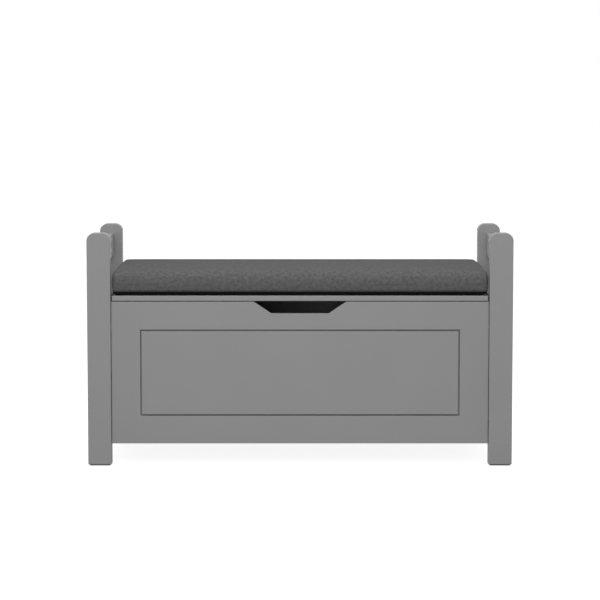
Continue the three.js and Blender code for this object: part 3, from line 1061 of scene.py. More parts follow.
@dataclass
class WoodScrew(Fitting):
    """A countersunk wood screw with a cross recess, its head a little domed."""

    title = "wood_screw"
    head_sides: ClassVar[int] = 32
    shank_sides: ClassVar[int] = 16
    head_radius: float = 0.0034
    head_height: float = 0.0020
    dome: float = 0.0003
    dome_flat: float = 0.6
    shank_radius: float = 0.0015
    shank_length: float = 0.010
    recess_length: float = 0.0038
    recess_width: float = 0.0009
    recess_depth: float = 0.0013
    seed: int = 7

    def spin(self) -> Socket:
        """Returns a turn that differs from screw to screw."""
        value = self.graph.add("FunctionNodeRandomValue", {
            2: 0.0, 3: math.pi / 2, "Seed": self.given["Seed"],
        }, data_type="FLOAT")
        turn = self.graph.vector(z=value.outputs[1])
        return self.graph.add("FunctionNodeEulerToRotation", {0: turn}).outputs[0]

    def shape(self) -> Socket:
        """Returns the head, cut by its cross recess, on its shank."""
        given, graph = self.given, self.graph
        neck = self.below(given["Head Height"])
        head = self.cone(given["Head Radius"], given["Shank Radius"], given["Head Height"], neck,
                         self.head_sides)
        flat = graph.times(given["Head Radius"], given["Dome Flat"])
        dome = self.cone(flat, given["Head Radius"], given["Dome"], 0.0, self.head_sides)
        tall = graph.times(given["Recess Depth"], 2.0)
        sizes = given["Recess Length"], given["Recess Width"]
        arms = [self.block(*pair, tall, given["Dome"]) for pair in (sizes, reversed(sizes))]
        centre = graph.math("SUBTRACT", neck, graph.times(given["Shank Length"], 0.5))
        shank = self.drum(given["Shank Radius"], given["Shank Length"], centre, self.shank_sides)
        return self.together(self.less(self.united(head, dome), *arms), shank)


@dataclass
class ConnectorBolt(Fitting):
    """A connector bolt with a flat chamfered head and a hexagon socket."""

    title = "connector_bolt"
    head_sides: ClassVar[int] = 48
    shank_sides: ClassVar[int] = 24
    head_radius: float = 0.006
    head_height: float = 0.004
    chamfer: float = 0.0006
    shank_radius: float = 0.003
    shank_length: float = 0.0822
    socket_radius: float = 0.0024
    socket_depth: float = 0.0024

    def shape(self) -> Socket:
        """Returns the head with its socket, on its shank."""
        given, graph = self.given, self.graph
        rim = graph.math("SUBTRACT", given["Head Radius"], given["Chamfer"])
        shoulder = self.below(given["Chamfer"])
        top = self.cone(rim, given["Head Radius"], given["Chamfer"], shoulder, self.head_sides)
        tall = graph.math("SUBTRACT", given["Head Height"], given["Chamfer"])
        drop = graph.math("MULTIPLY_ADD", tall, -0.5, shoulder)
        head = self.drum(given["Head Radius"], tall, drop, self.head_sides)
        length = graph.math("SUBTRACT", given["Shank Length"], given["Head Height"])
        root = graph.math("MULTIPLY_ADD", length, -0.5, self.below(given["Head Height"]))
        shank = self.drum(given["Shank Radius"], length, root, self.shank_sides)
        key = self.drum(given["Socket Radius"], graph.times(given["Socket Depth"], 2.0), 0.0, sides=6)
        return self.less(self.united(top, head, shank), key)


@dataclass
class BarrelNut(Fitting):
    """A cross dowel that a connector bolt screws into, with a slot to turn it straight."""

    title = "barrel_nut"
    drum_sides: ClassVar[int] = 40
    bore_sides: ClassVar[int] = 24
    cutter_width: ClassVar[float] = 2.5
    radius: float = 0.005
    length: float = 0.012
    bore_radius: float = 0.0033
    bore_depth: float = 0.0072
    slot_width: float = 0.0012
    slot_depth: float = 0.0015

    def shape(self) -> Socket:
        """Returns the drum, crossed by its bore and slotted along it."""
        given, graph = self.given, self.graph
        drum = self.drum(given["Radius"], given["Length"], self.below(given["Length"], 0.5), self.drum_sides)
        wide = graph.times(given["Radius"], self.cutter_width)
        across = self.drum(given["Bore Radius"], wide, self.below(given["Bore Depth"]), self.bore_sides,
                           Rotation=(0.0, math.pi / 2, 0.0))
        slot = self.block(wide, given["Slot Width"], graph.times(given["Slot Depth"], 2.0))
        return self.less(drum, across, slot)


@dataclass
class Stitch(Fitting):
    """A lockstitch: a short plump stretch of thread along its aim, half sunk in the cloth."""

    title = "lockstitch"
    length: float = 0.0026
    radius: float = 0.0004

    def shape(self) -> Socket:
        """Returns a long ball."""
        ball = self.graph.add("GeometryNodeMeshUVSphere", {"Segments": 8, "Rings": 6, "Radius": 0.5})
        wide = self.graph.times(self.given["Radius"], 2.0)
        return self.moved(ball.outputs[0], Scale=self.graph.vector(wide, wide, self.given["Length"]))


@dataclass
class ZipTooth(Fitting):
    """One turn of a zip's coil, across the zip."""

    title = "zip_tooth"
    length: float = 0.0042
    thickness: float = 0.0007

    def shape(self) -> Socket:
        """Returns a short round bar, faceted."""
        return self.drum(self.graph.times(self.given["Thickness"], 0.5), self.given["Length"], 0.0, sides=8)


# ------------ screws and end frames


def sunk(screw: WoodScrew, places: Places, through: float = 0.0) -> list[Piece]:
    """The cutters that screws' heads and shanks sit in.

    Args:
        screw: The screw.
        places: The (middle of the head, direction outwards) of each.
        through: How deep the shanks' holes are, or 0 for the whole screw.

    Returns:
        The cutters.
    """
    head, shank = screw.head_radius + BORE / 2, screw.shank_radius + BORE / 2
    deep = through or screw.head_height + screw.shank_length + BORE
    profile = ((0.0, OVERSHOOT), (head, OVERSHOOT), (head, 0.0), (shank, -screw.head_height),
               (shank, -deep), (0.0, -deep))
    cutters = []
    for point, way in places:
        cutter = turned("countersink_cutter", profile, Axis.Z, (0.0, 0.0), sides=32)
        turn = Vector(way).to_track_quat("Z", "Y").to_matrix().to_4x4()
        cutter.data.transform(Matrix.Translation(point) @ turn)
        cutters.append(cutter)
    return cutters


@dataclass
class EndFrames:
    """The four posts with their pads, and the arm rail and side panel at each end."""

    post_edge: float = 0.002
    post_top_radius: float = 0.018
    bolt_bore: float = 0.0033
    bolt_counterbore: float = 0.0063
    counterbore_depth: float = 0.0049
    counterbore_lip: float = 0.0004
    tongue_half: float = 0.0035
    tongue_depth: float = 0.006
    dowel_radius: float = 0.004
    dowel_bevel: float = 0.001
    rail_edge: float = 0.002
    board_edge: float = 0.001
    pad_corner: float = 0.003
    pad_edge: float = 0.0008

    def build(self) -> None:
        """Makes both end frames."""
        for side in SIDES:
            for end in ENDS:
                self.post(side, end)
                self.pad(side, end)
                self.dowel(side, end)
            self.arm_rail(side)
            self.side_panel(side)

    def bolt_hole(self, side: str, end: str, level: str, tip: float) -> Piece:
        """The hole for a connector bolt, with its counterbore.

        Args:
            side: The side of the bench.
            end: The end of that side.
            level: The bolt's level.
            tip: How far from the bench's middle the hole ends.

        Returns:
            The cutter.
        """
        _, y, z = spans(f"bolt_{end}_{side}_{level}")
        face = reach(f"post_{end}_{side}")[1]
        seat = face - self.counterbore_depth
        bore, wide, lip = self.bolt_bore, self.bolt_counterbore, self.counterbore_lip
        profile = ((0.0, tip), (bore, tip), (bore, seat), (wide, seat), (wide, face - lip),
                   (wide + lip + OVERSHOOT, face + OVERSHOOT), (0.0, face + OVERSHOOT))
        return turned("bolt_cutter", sided(profile, side), Axis.X, (middle(y), middle(z)))

    def dowel_hole(self, side: str, end: str) -> Piece:
        """Returns the cutter of a dowel's hole, in the post and the arm rail together."""
        x, y, z = spans(f"rail_dowel_{end}_{side}")
        return rod("dowel_cutter", self.dowel_radius + BORE, wider(y, BORE), Axis.Y, (middle(x), middle(z)))

    def post(self, side: str, end: str) -> None:
        """Makes a post with its bores.

        Args:
            side: The side of the bench.
            end: The end of that side.
        """
        node = f"post_{end}_{side}"
        x, y, z = spans(node)
        outline = rectangle(x, z, 0.0, self.post_top_radius, steps=14)
        post = slab(f"{node}_painted", outline, Axis.Y, y, self.post_edge, steps=5)
        panel_x, panel_y, panel_z = spans(f"side_panel_{side}")
        tongue_end = outer(panel_y, ENDS[end]) + ENDS[end] * BORE
        slot = slab("tongue_cutter", rectangle(around(middle(panel_x), self.tongue_half + BORE),
                                               ordered(tongue_end, 0.0)), Axis.Z, wider(panel_z, BORE))
        tip = reach(f"side_panel_{side}")[0] - 2 * OVERSHOOT
        bores = [self.bolt_hole(side, end, level, tip) for level in LEVELS]
        combine(post, [slot, self.dowel_hole(side, end), *bores])
        hand_over(shaded(post), PAINT, "carcass", node)

    def pad(self, side: str, end: str) -> None:
        """Makes the felt pad under a post.

        Args:
            side: The side of the bench.
            end: The end of that side.
        """
        node = f"foot_pad_{end}_{side}"
        pad = board(node, "felt", Axis.Z, self.pad_corner, self.pad_edge)
        hand_over(shaded(pad), FELT, "carcass", node)

    def dowel(self, side: str, end: str) -> None:
        """Makes the dowel between a post and an arm rail.

        Args:
            side: The side of the bench.
            end: The end of that side.
        """
        node = f"rail_dowel_{end}_{side}"
        x, y, z = spans(node)
        dowel = rod(f"{node}_turned", self.dowel_radius, y, Axis.Y, (middle(x), middle(z)),
                    self.dowel_bevel, sides=24)
        hand_over(shaded(dowel), BEECH, "carcass", node)

    def arm_rail(self, side: str) -> None:
        """Makes an arm rail with a dowel hole in each end.

        Args:
            side: The side of the bench.
        """
        node = f"arm_rail_{side}"
        rail = board(node, "painted", Axis.Y, self.rail_edge, 0.0, corner_steps=5)
        combine(rail, [self.dowel_hole(side, end) for end in ENDS])
        hand_over(shaded(rail), PAINT, "carcass", node)

    def side_panel(self, side: str) -> None:
        """Makes a side panel with a tongue at each end.

        Args:
            side: The side of the bench.
        """
        node = f"side_panel_{side}"
        x, y, z = spans(node)
        tongue = around(middle(x), self.tongue_half)
        shoulders = wider(wider(y, -self.tongue_depth), -SEAM)
        front, rear = ([(x[0], shoulder), (tongue[0], shoulder), (tongue[0], tip), (tongue[1], tip),
                        (tongue[1], shoulder), (x[1], shoulder)] for shoulder, tip in zip(shoulders, y))
        panel = slab(f"{node}_painted", [*front, *reversed(rear)], Axis.Z, z, self.board_edge)
        hand_over(shaded(panel), PAINT, "carcass", node)


# ------------ chest


@dataclass
class Chest:
    """The boards of the chest: front with its routed line and finger notch, back, bottom and cleats.

    It takes the end frames, which know the bolts' holes, the hinges, which know their mortises, and the
    screw that holds the cleats.
    """

    frames: EndFrames
    hinges: "Hinges"
    screw: WoodScrew
    panel_edge: float = 0.0015
    notch_top: float = 0.218
    notch_bottom: float = 0.136
    notch_depth: float = 0.028
    groove_side: float = 0.0698
    groove_top: float = 0.0677
    groove_bottom: float = 0.068
    groove_width: float = 0.0037
    groove_depth: float = 0.0090
    groove_lip: float = 0.0001
    nut_pocket: float = 0.0053
    nut_reach: float = 0.0126
    cleat_edge: float = 0.001
    cleat_screws: int = 6
    bottom_edge: float = 0.0006
    bumper_edge: float = 0.0004

    def build(self) -> None:
        """Makes the chest."""
        self.front()
        self.back()
        self.bottom()
        for end in ENDS:
            self.cleat(end)
        for side in SIDES:
            self.bumper(side)

    def notched(self, x: Span, z: Span) -> Loop:
        """The front panel's outline.

        Args:
            x: Its limits across.
            z: Its limits up.

        Returns:
            The outline, with the notch in its top edge.
        """
        top, low = self.notch_top / 2, self.notch_bottom / 2
        floor = z[1] - self.notch_depth
        return [(x[0], z[0]), (x[1], z[0]), (x[1], z[1]), (top, z[1]), (low, floor), (-low, floor),
                (-top, z[1]), (x[0], z[1])]

    def groove(self, x: Span, z: Span, face: float) -> Piece:
        """The routed line, with a softened mouth and floor.

        Args:
            x: The panel's limits across.
            z: Its limits up.
            face: Its front face.

        Returns:
            The cutter.
        """
        half, lip, depth = self.groove_width / 2, self.groove_lip, self.groove_depth
        rightward = [(half, depth - 2 * lip), (half, lip), (half + lip + OVERSHOOT, -OVERSHOOT)]
        section = [rightward[0], (half - 2 * lip, depth), (2 * lip - half, depth),
                   *((-out, into) for out, into in rightward), rightward[2], rightward[1]]
        across = (x[0] + self.groove_side, x[1] - self.groove_side)
        upwards = (z[0] + self.groove_bottom, z[1] - self.groove_top)
        return swept_frame("groove_cutter", across, upwards, Axis.Y,
                           [(out, face + into) for out, into in section])

    def bores(self, end: str, y: Span) -> list[Piece]:
        """The bolt holes and nut pockets of a panel.

        Args:
            end: The end of the bench that the panel is at.
            y: The panel's limits from front to back.

        Returns:
            The cutters.
        """
        cutters = []
        inner = outer(y, -ENDS[end])
        pocket = (inner - ENDS[end] * OVERSHOOT, inner + ENDS[end] * self.nut_reach)
        for side in SIDES:
            for level in LEVELS:
                x, _, z = spans(f"barrel_nut_{end}_{side}_{level}")
                tip = reach(f"bolt_{end}_{side}_{level}")[0] - BORE
                cutters.append(self.frames.bolt_hole(side, end, level, tip))
                cutters.append(rod("nut_cutter", self.nut_pocket, pocket, Axis.Y, (middle(x), middle(z))))
        return cutters

    def front(self) -> None:
        """Makes the front panel."""
        x, y, z = spans("front_panel")
        panel = slab("front_panel_painted", self.notched(x, z), Axis.Y, y, self.panel_edge)
        combine(panel, [self.groove(x, z, y[0]), *self.bores("front", y)])
        hand_over(shaded(panel), PAINT, "carcass", "front_panel")

    def back(self) -> None:
        """Makes the back panel with its hinge mortises."""
        panel = board("back_panel", "painted", Axis.Y, 0.0, self.panel_edge)
        mortises = [self.hinges.mortise(side, "fixed") for side in SIDES]
        combine(panel, [*self.bores("rear", spans("back_panel")[1]), *mortises])
        hand_over(shaded(panel), PAINT, "carcass", "back_panel")

    def bottom(self) -> None:
        """Makes the bottom board."""
        bottom = board("bottom_board", "painted", Axis.Z, 0.0, self.bottom_edge)
        hand_over(shaded(bottom), PAINT, "carcass", "bottom_board")

    def cleat(self, end: str) -> None:
        """Makes a cleat and the screws that hold it to its panel.

        Args:
            end: The end of the bench that the cleat is at.
        """
        node = f"bottom_cleat_{end}"
        x, y, z = spans(node)
        bar = board(node, "painted", Axis.X, self.cleat_edge, self.cleat_edge / 2, corner_steps=4)
        inwards = (0.0, -ENDS[end], 0.0)
        step = (x[1] - x[0]) / self.cleat_screws
        places = [((x[0] + step * (i + 0.5), outer(y, -ENDS[end]), middle(z)), inwards)
                  for i in range(self.cleat_screws)]
        combine(bar, sunk(self.screw, places))
        hand_over(shaded(bar), PAINT, "carcass", node)
        hand_over(self.screw.fit(f"cleat_screws_{end}", places, ZINC), ZINC, "carcass")

    def bumper(self, side: str) -> None:
        """Makes the rubber bumper that the lid comes down on.

        Args:
            side: The side of the bench.
        """
        node = f"lid_bumper_{side}"
        x, y, z = spans(node)
        radius, edge = (x[1] - x[0]) / 2, self.bumper_edge
        rim = arc((radius - edge, z[1] - edge), edge, 0, 90, steps=4)
        dot = turned(f"{node}_moulded", [(0.0, z[0]), (radius, z[0]), *rim, (0.0, z[1])], Axis.Z,
                     (middle(x), middle(y)), sides=32)
        hand_over(shaded(dot), RUBBER, "carcass", node)


@dataclass
class Connectors:
    """The knock-down fasteners: eight bolts in the posts, and their nuts in the panels."""

    bolt: ConnectorBolt = field(default_factory=ConnectorBolt)
    nut: BarrelNut = field(default_factory=BarrelNut)

    def build(self) -> None:
        """Makes the bolts as one piece and the nuts as another."""
        bolts, nuts = {}, {}
        for end, side, level in product(ENDS, SIDES, LEVELS):
            name = f"bolt_{end}_{side}_{level}"
            x, y, z = spans(name)
            bolts[name] = (outer(x, SIDES[side]), middle(y), middle(z)), (SIDES[side], 0.0, 0.0)
            name = f"barrel_nut_{end}_{side}_{level}"
            x, y, z = spans(name)
            nuts[name] = (middle(x), outer(y, -ENDS[end]), middle(z)), (0.0, -ENDS[end], 0.0)
        hand_over(self.bolt.fit("connector_bolts", [*bolts.values()], ZINC), ZINC, "carcass", *bolts)
        hand_over(self.nut.fit("barrel_nuts", [*nuts.values()], ZINC), ZINC, "carcass", *nuts)


# ------------ seat


@dataclass
class Lid:
    """The lid board and the hook-and-loop strips that hold the cushion on it."""

    hinges: "Hinges"
    edge: float = 0.0015
    corner: float = 0.0018
    strip_corner: float = 0.003
    strip_edge: float = 0.0003

    def build(self) -> None:
        """Makes the lid board and the strips."""
        lid = board("lid_board", "painted", Axis.Z, self.corner, self.edge, corner_steps=4, edge_steps=5)
        combine(lid, [self.hinges.mortise(side, "lid") for side in SIDES])
        hand_over(shaded(lid), PAINT, "lid", "lid_board")
        for end in ENDS:
            node = f"cushion_strip_{end}"
            strip = board(node, "tape", Axis.Z, self.strip_corner, self.strip_edge, edge_steps=2)
            hand_over(shaded(strip), HOOK_TAPE, "lid", node)


@dataclass
class Zip:
    """The zip behind the cushion: its tapes, its coil, two rows of stitches, and a slider with a tab."""

    half: float = 0.33
    groove: float = 0.0022
    groove_width: float = 0.0035
    tape_half: float = 0.0028
    tape_half_thickness: float = 0.0005
    teeth_per_tape_step: int = 8
    tooth_pitch: float = 0.0016
    tooth_rise: float = 0.0009
    stitch_pitch: float = 0.0036
    stitch_rise: float = 0.0001
    stitch_row: float = 0.0065
    slider_tooth: int = 6
    slider_from_end: float = 0.008
    slider_half: Point = (0.0045, 0.0035)
    slider_corner: float = 0.0015
    slider_depth: Span = (0.0002, 0.0030)
    slider_edge: float = 0.0006
    tab_half: float = 0.0022
    tab_drop: Span = (0.019, 0.001)
    tab_corner: float = 0.0012
    tab_depth: Span = (0.0031, 0.0041)
    tab_edge: float = 0.0003
    tab_hole: float = 0.0011
    tab_hole_drop: float = 0.0155
    knots: int = 24
    knot_width: float = 0.01
    knot_height: float = 0.003

    def build(self, rear: np.ndarray, level: float) -> None:
        """Makes the zip.

        Args:
            rear: The points of the cover's rear.
            level: The zip's height.
        """
        xs = np.arange(-self.half, self.half, self.tooth_pitch)
        ys = self.face(rear, xs, level)
        every = self.teeth_per_tape_step
        hand_over(shaded(self.tape(xs[::every], ys[::every], level)), ZIP_TAPE, "lid")
        teeth = [((x, y + self.tooth_rise, level), (0.0, 0.0, 1.0)) for x, y in zip(xs, ys)]
        hand_over(ZipTooth().fit("cushion_zip_coil", teeth, ZIP_TAPE), ZIP_TAPE, "lid")
        steps = np.arange(-self.half, self.half, self.stitch_pitch)
        stitches = [((x, y + self.stitch_rise, row), (1.0, 0.0, 0.0))
                    for row in (level - self.stitch_row, level + self.stitch_row)
                    for x, y in zip(steps, self.face(rear, steps, row))]
        hand_over(Stitch().fit("cushion_zip_stitches", stitches, THREAD), THREAD, "lid")
        self.pull(ys[-self.slider_tooth], level)

    def face(self, rear: np.ndarray, places: np.ndarray, level: float) -> np.ndarray:
        """Where the cover's rear face is.

        Args:
            rear: The points of the cover's rear.
            places: The places along X.
            level: The height.

        Returns:
            The face's Y at each place.
        """
        knots = np.linspace(-self.half, self.half, self.knots)
        strip = rear[np.abs(rear[:, 2] - level) < self.knot_height]
        depths = [strip[np.abs(strip[:, 0] - x) < self.knot_width][:, 1].mean() for x in knots]
        return np.interp(places, knots, depths)

    def tape(self, xs: np.ndarray, ys: np.ndarray, level: float) -> Piece:
        """The zip's two tapes, as one thin band that follows the cover.

        Args:
            xs: The places along it.
            ys: The cover's face at each.
            level: The zip's height.

        Returns:
            The object.
        """
        half, thick = self.tape_half, self.tape_half_thickness
        corners = ((-thick, -half), (thick, -half), (thick, half), (-thick, half))
        points = [(x, y + out, level + up) for x, y in zip(xs, ys) for out, up in corners]
        faces = []
        for a in range(0, len(points) - 4, 4):
            faces += wall(range(a, a + 4), range(a + 4, a + 8))
        caps = [(3, 2, 1, 0), range(len(points) - 4, len(points))]
        return piece_of("cushion_zip_tape", points, faces + caps)

    def pull(self, y: float, level: float) -> None:
        """Makes the zip's slider and its hanging tab.

        Args:
            y: The cover's face at the slider.
            level: The zip's height.
        """
        x = self.half - self.slider_from_end
        wide, tall = self.slider_half
        outline = rectangle(around(x, wide), around(level, tall), self.slider_corner)
        slider = slab("slider", outline, Axis.Y, (y + self.slider_depth[0], y + self.slider_depth[1]),
                      self.slider_edge)
        hanging = (level - self.tab_drop[0], level - self.tab_drop[1])
        hole = circle((x, level - self.tab_hole_drop), self.tab_hole, sides=16)
        tab = slab("tab", rectangle(around(x, self.tab_half), hanging, self.tab_corner), Axis.Y,
                   (y + self.tab_depth[0], y + self.tab_depth[1]), self.tab_edge, holes=[hole])
        hand_over(shaded(joined("cushion_zip_pull", [slider, tab])), STEEL, "lid")


@dataclass
class Cushion:
    """The seat cushion: a foam pad in a sewn cover, with a seam round each end and a zip behind."""

    zip: Zip = field(default_factory=Zip)
    rounding: Triple = (0.008, 0.018, 0.020)
    foot_share: float = 0.75
    flat_part: float = 1e-4
    smaller: float = 0.003
    step: float = 0.007
    fine: tuple[float, ...] = (0.0, 0.06, 0.14, 0.25, 0.42, 0.67, 1.0)
    ends_apart: Point = (3.0, 1.0)
    # how far above the cover's bottom the near-black band reaches, and how softly it ends: the underside
    # cloth, and painted shade on the rounded foot
    underside_top: float = 0.0095
    underside_fade: float = 0.004
    pressure: float = 4.0
    frames: int = 20
    foam_hold: float = 0.3
    foam_stiffness: float = 0.02
    most_swell: float = 0.0018
    quick_flat: float = 0.8
    quick_swell: float = 0.012
    pull_in: float = 0.0016
    end_bow: float = 0.0003
    bow_reach: float = 0.06
    seam_depth: float = 0.0011
    seam_reach: Triple = (0.9, 0.9, 0.6)
    beside_seam: float = 0.4
    pucker: float = 0.4
    pucker_pitch: float = 0.019
    dome: float = 0.003
    ripple: float = 0.00025
    ripple_waves: Triple = (61.0, 37.0, 53.0)
    ripple_shift: float = 1.3
    half_length: float = 0.4446
    front_face: float = -0.1887
    rear_face: float = 0.1837
    crown_top: float = 0.4656
    rear_depth: float = 0.03
    rear_share: float = 0.9

    def __post_init__(self) -> None:
        """Takes the cover's box from the CAD node, a little smaller, so that it can swell."""
        low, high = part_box("seat_cushion")
        self.low = low + Vector((self.smaller, self.smaller, 0.0))
        self.high = high - Vector((self.smaller, self.smaller, self.smaller))
        self.centre = (np.array(self.low) + np.array(self.high)) / 2
        self.half = (np.array(self.high) - np.array(self.low)) / 2

    def build(self) -> None:
        """Makes the cushion and its zip."""
        cover = self.blank()
        self.start = points_of(cover)
        self.unit = (self.start - self.centre) / self.half
        filled = self.inflated(cover)
        cover.data.vertices.foreach_set("co", self.sewn(filled).ravel())
        smooth = cover.modifiers.new("smooth", "SUBSURF")
        smooth.levels = smooth.render_levels = 1
        bake(cover)
        cover.data.shade_smooth()
        hand_over(cover, CLOTH, "lid", "seat_cushion")
        surface = points_of(cover)
        self.zip.build(surface[surface[:, 1] > self.high.y - self.rear_depth], self.centre[2])

    def lines(self, axis: int) -> list[float]:
        """The grid lines along one axis, close together at both ends for the seams.

        Args:
            axis: The axis's number.

        Returns:
            The places of the lines, from low to high.
        """
        low, high, radius = self.low[axis], self.high[axis], self.rounding[axis]
        count = max(2, round((high - low - 2 * radius) / self.step))
        inner = np.linspace(low + radius, high - radius, count + 1)[1:-1]
        rim = [share * radius for share in self.fine]
        return [*(low + r for r in rim), *inner, *(high - r for r in reversed(rim))]

    def round_off(self, point: Vector) -> Vector:
        """Moves a point of the box's surface onto a rounded box, which is rounder above than below.

        Args:
            point: The point.

        Returns:
            The moved point.
        """
        full = Vector(self.rounding)
        inner = Vector(min(max(point[i], self.low[i] + full[i]), self.high[i] - full[i]) for i in range(3))
        way = Vector((point[i] - inner[i]) / full[i] for i in range(3))
        if not way.length:
            return point
        way.normalize()
        rise = (point.z - self.low.z) / (self.high.z - self.low.z)
        share = 1 + (self.foot_share - 1) * (1 - rise)
        corner = Vector(math.copysign(1.0, part) if abs(part) > self.flat_part else 0.0 for part in way)
        return inner + (corner + (way - corner) * share) * full

    def blank(self) -> Piece:
        """The cover before it is filled: a rounded box of quads.

        Returns:
            The object, with its weave map and its mask for the near-black underside cloth and the painted
            shade on its rounded foot.
        """
        grid = [self.lines(axis) for axis in range(3)]
        last = [len(lines) - 1 for lines in grid]
        numbers: dict[tuple[int, ...], int] = {}
        points, faces, corners = [], [], []
        for axis, far in product(range(3), (False, True)):
            first, second = (i for i in range(3) if i != axis)
            for i, j in np.ndindex(last[first], last[second]):
                ring = []
                for di, dj in ((0, 0), (1, 0), (1, 1), (0, 1)):
                    key = [last[axis] * far] * 3
                    key[first], key[second] = i + di, j + dj
                    ring.append(tuple(key))
                if far == (axis == 1):
                    ring.reverse()
                for key in ring:
                    if key not in numbers:
                        numbers[key] = len(points)
                        points.append(self.round_off(Vector(grid[k][key[k]] for k in range(3))))
                faces.append([numbers[key] for key in ring])
                corners += [(key, axis, far) for key in ring]
        mesh = bpy.data.meshes.new("seat_cushion_cover")
        mesh.from_pydata([tuple(p) for p in points], [], faces)
        maps = self.unrolled(points, numbers, last, corners)
        mesh.uv_layers.new(name="weave").data.foreach_set("uv", maps)
        # Painted shade: the mask covers the underside and the lower part of the rounded foot.
        mask = mesh.attributes.new("underside", "FLOAT", "POINT")
        top = self.low.z + self.underside_top
        heights = np.array([point.z for point in points])
        mask.data.foreach_set("value", np.clip((top - heights) / self.underside_fade, 0.0, 1.0))
        from_edge = np.array([[min(key[i], last[i] - key[i]) for i in range(3)] for key in numbers])
        from_seam = np.maximum(from_edge[:, 0], np.minimum(from_edge[:, 1], from_edge[:, 2]))
        self.seam = (from_seam == 0) + self.beside_seam * (from_seam == 1)
        return linked("seat_cushion_cover", mesh)

    def unrolled(self, points: list[Vector], numbers: dict[tuple[int, ...], int], last: list[int],
                 corners: list[tuple[tuple[int, ...], int, bool]]) -> list[float]:
        """The weave map: one strip round the front, top, rear and underside, and the two ends apart.

        Args:
            points: The cover's points.
            numbers: Each point's number, by its place in the grid.
            last: The last grid line along each axis.
            corners: Each face corner's place in the grid, its face's axis, and whether that is the far one.

        Returns:
            The corners' places in the map, in metres, one number after another.
        """
        half = [count // 2 for count in last]

        def along(axis: int, *fixed: int) -> np.ndarray:
            """Returns how far each point of a row is from the row's middle, along the surface."""
            keys = [(*fixed[:axis], k, *fixed[axis:]) for k in range(last[axis] + 1)]
            row = np.array([points[numbers[key]] for key in keys])
            run = np.concatenate(([0.0], np.cumsum(np.linalg.norm(np.diff(row, axis=0), axis=1))))
            return run - run[-1] / 2

        place = [along(0, half[1], last[2]), along(1, half[0], last[2]), along(2, half[0], 0)]
        _, deep, tall = (run[-1] for run in place)
        maps = []
        for key, axis, far in corners:
            x, y, z = (place[i][key[i]] for i in range(3))
            if axis == 0:
                maps += [y + self.ends_apart[0], z + self.ends_apart[1]]
            elif axis == 1:
                maps += [x, deep + tall - z if far else z - deep - tall]
            else:
                maps += [x, y if far else -y - 2 * deep - 2 * tall]
        return maps

    def resting(self) -> np.ndarray:
        """Returns how firmly each point is held by what the cushion rests on, from 0 to 1."""
        return np.clip(1 - (self.start[:, 2] - self.low.z) / (self.foot_share * self.rounding[2]), 0, 1)

    def inflated(self, cover: Piece) -> np.ndarray:
        """Fills the cover as a cloth under pressure, held back by its foam.

        Args:
            cover: The cover.

        Returns:
            Its points after that.
        """
        held = cover.vertex_groups.new(name="held")
        for index, weight in enumerate(self.resting()):
            held.add([index], max(float(weight), self.foam_hold), "REPLACE")
        cloth = cover.modifiers.new("cloth", "CLOTH")
        settings = cloth.settings
        settings.quality = 6
        settings.mass = 0.25
        settings.tension_stiffness = settings.compression_stiffness = 18
        settings.shear_stiffness = 6
        settings.bending_stiffness = 1.5
        settings.use_pressure = True
        settings.uniform_pressure_force = self.pressure
        settings.vertex_group_mass = held.name
        settings.pin_stiffness = self.foam_stiffness
        settings.effector_weights.gravity = 0
        cloth.collision_settings.use_collision = False
        cloth.point_cache.frame_start, cloth.point_cache.frame_end = 1, self.frames
        for frame in range(1, self.frames + 1):
            bpy.context.scene.frame_set(frame)
        filled = points_of(cover.evaluated_get(bpy.context.evaluated_depsgraph_get()))
        cover.modifiers.remove(cloth)
        cover.vertex_groups.remove(held)
        bpy.context.scene.frame_set(1)
        return filled

    def sewn(self, filled: np.ndarray) -> np.ndarray:
        """Turns the filled cover into the sewn cushion.

        Args:
            filled: The cover's points after it was filled.

        Returns:
            The cover's points, as sewn and filled.
        """
        move = filled - self.start
        length = np.linalg.norm(move, axis=1, keepdims=True)
        move *= self.most_swell * np.tanh(length / self.most_swell) / np.maximum(length, TINY)
        shape = self.start + move * (1 - self.resting()[:, None])
        self.bow(shape)
        self.draw_seams(shape)
        self.crown(shape)
        shape = self.fitted(shape)
        behind = (self.unit[:, 1] > self.rear_share) & (np.abs(self.start[:, 0]) < self.zip.half)
        band = np.exp(-((self.start[:, 2] - self.centre[2]) / self.zip.groove_width) ** 2)
        shape[:, 1] -= behind * band * self.zip.groove
        return shape

    def bow(self, shape: np.ndarray) -> None:
        """Pulls the long sides in between the corners, and lets the short ones out.

        Args:
            shape: The cover's points, which are moved.
        """
        for axis, other, pull in ((1, 0, self.pull_in), (0, 1, -self.end_bow)):
            side, along = self.unit[:, axis], self.unit[:, other]
            near = np.clip(1 - (1 - np.abs(side)) * self.half[axis] / self.bow_reach, 0, 1)
            shape[:, axis] -= np.sign(side) * pull * near ** 2 * (1 - along ** 2)

    def draw_seams(self, shape: np.ndarray) -> None:
        """Draws the seams round the two ends in, with small puckers.

        Args:
            shape: The cover's points, which are moved.
        """
        inwards = -np.sign(self.unit) * (np.abs(self.unit) > self.seam_reach)
        inwards /= np.maximum(np.linalg.norm(inwards, axis=1, keepdims=True), TINY)
        waves = np.sin((self.start[:, 1] + self.start[:, 2]) * 2 * math.pi / self.pucker_pitch)
        shape += inwards * (self.seam_depth * self.seam * (1 + self.pucker * waves))[:, None]

    def crown(self, shape: np.ndarray) -> None:
        """Raises the top into a low dome with faint ripples.

        Args:
            shape: The cover's points, which are moved.
        """
        above = np.clip(self.unit[:, 2], 0, 1)
        shape[:, 2] += self.dome * above * (1 - self.unit[:, 1] ** 2)
        (x, y), (long, bent, short) = self.start[:, :2].T, self.ripple_waves
        waves = np.sin(x * long + np.sin(y * bent) * 2) * np.sin(y * short + self.ripple_shift)
        shape[:, 2] += waves * self.ripple * above

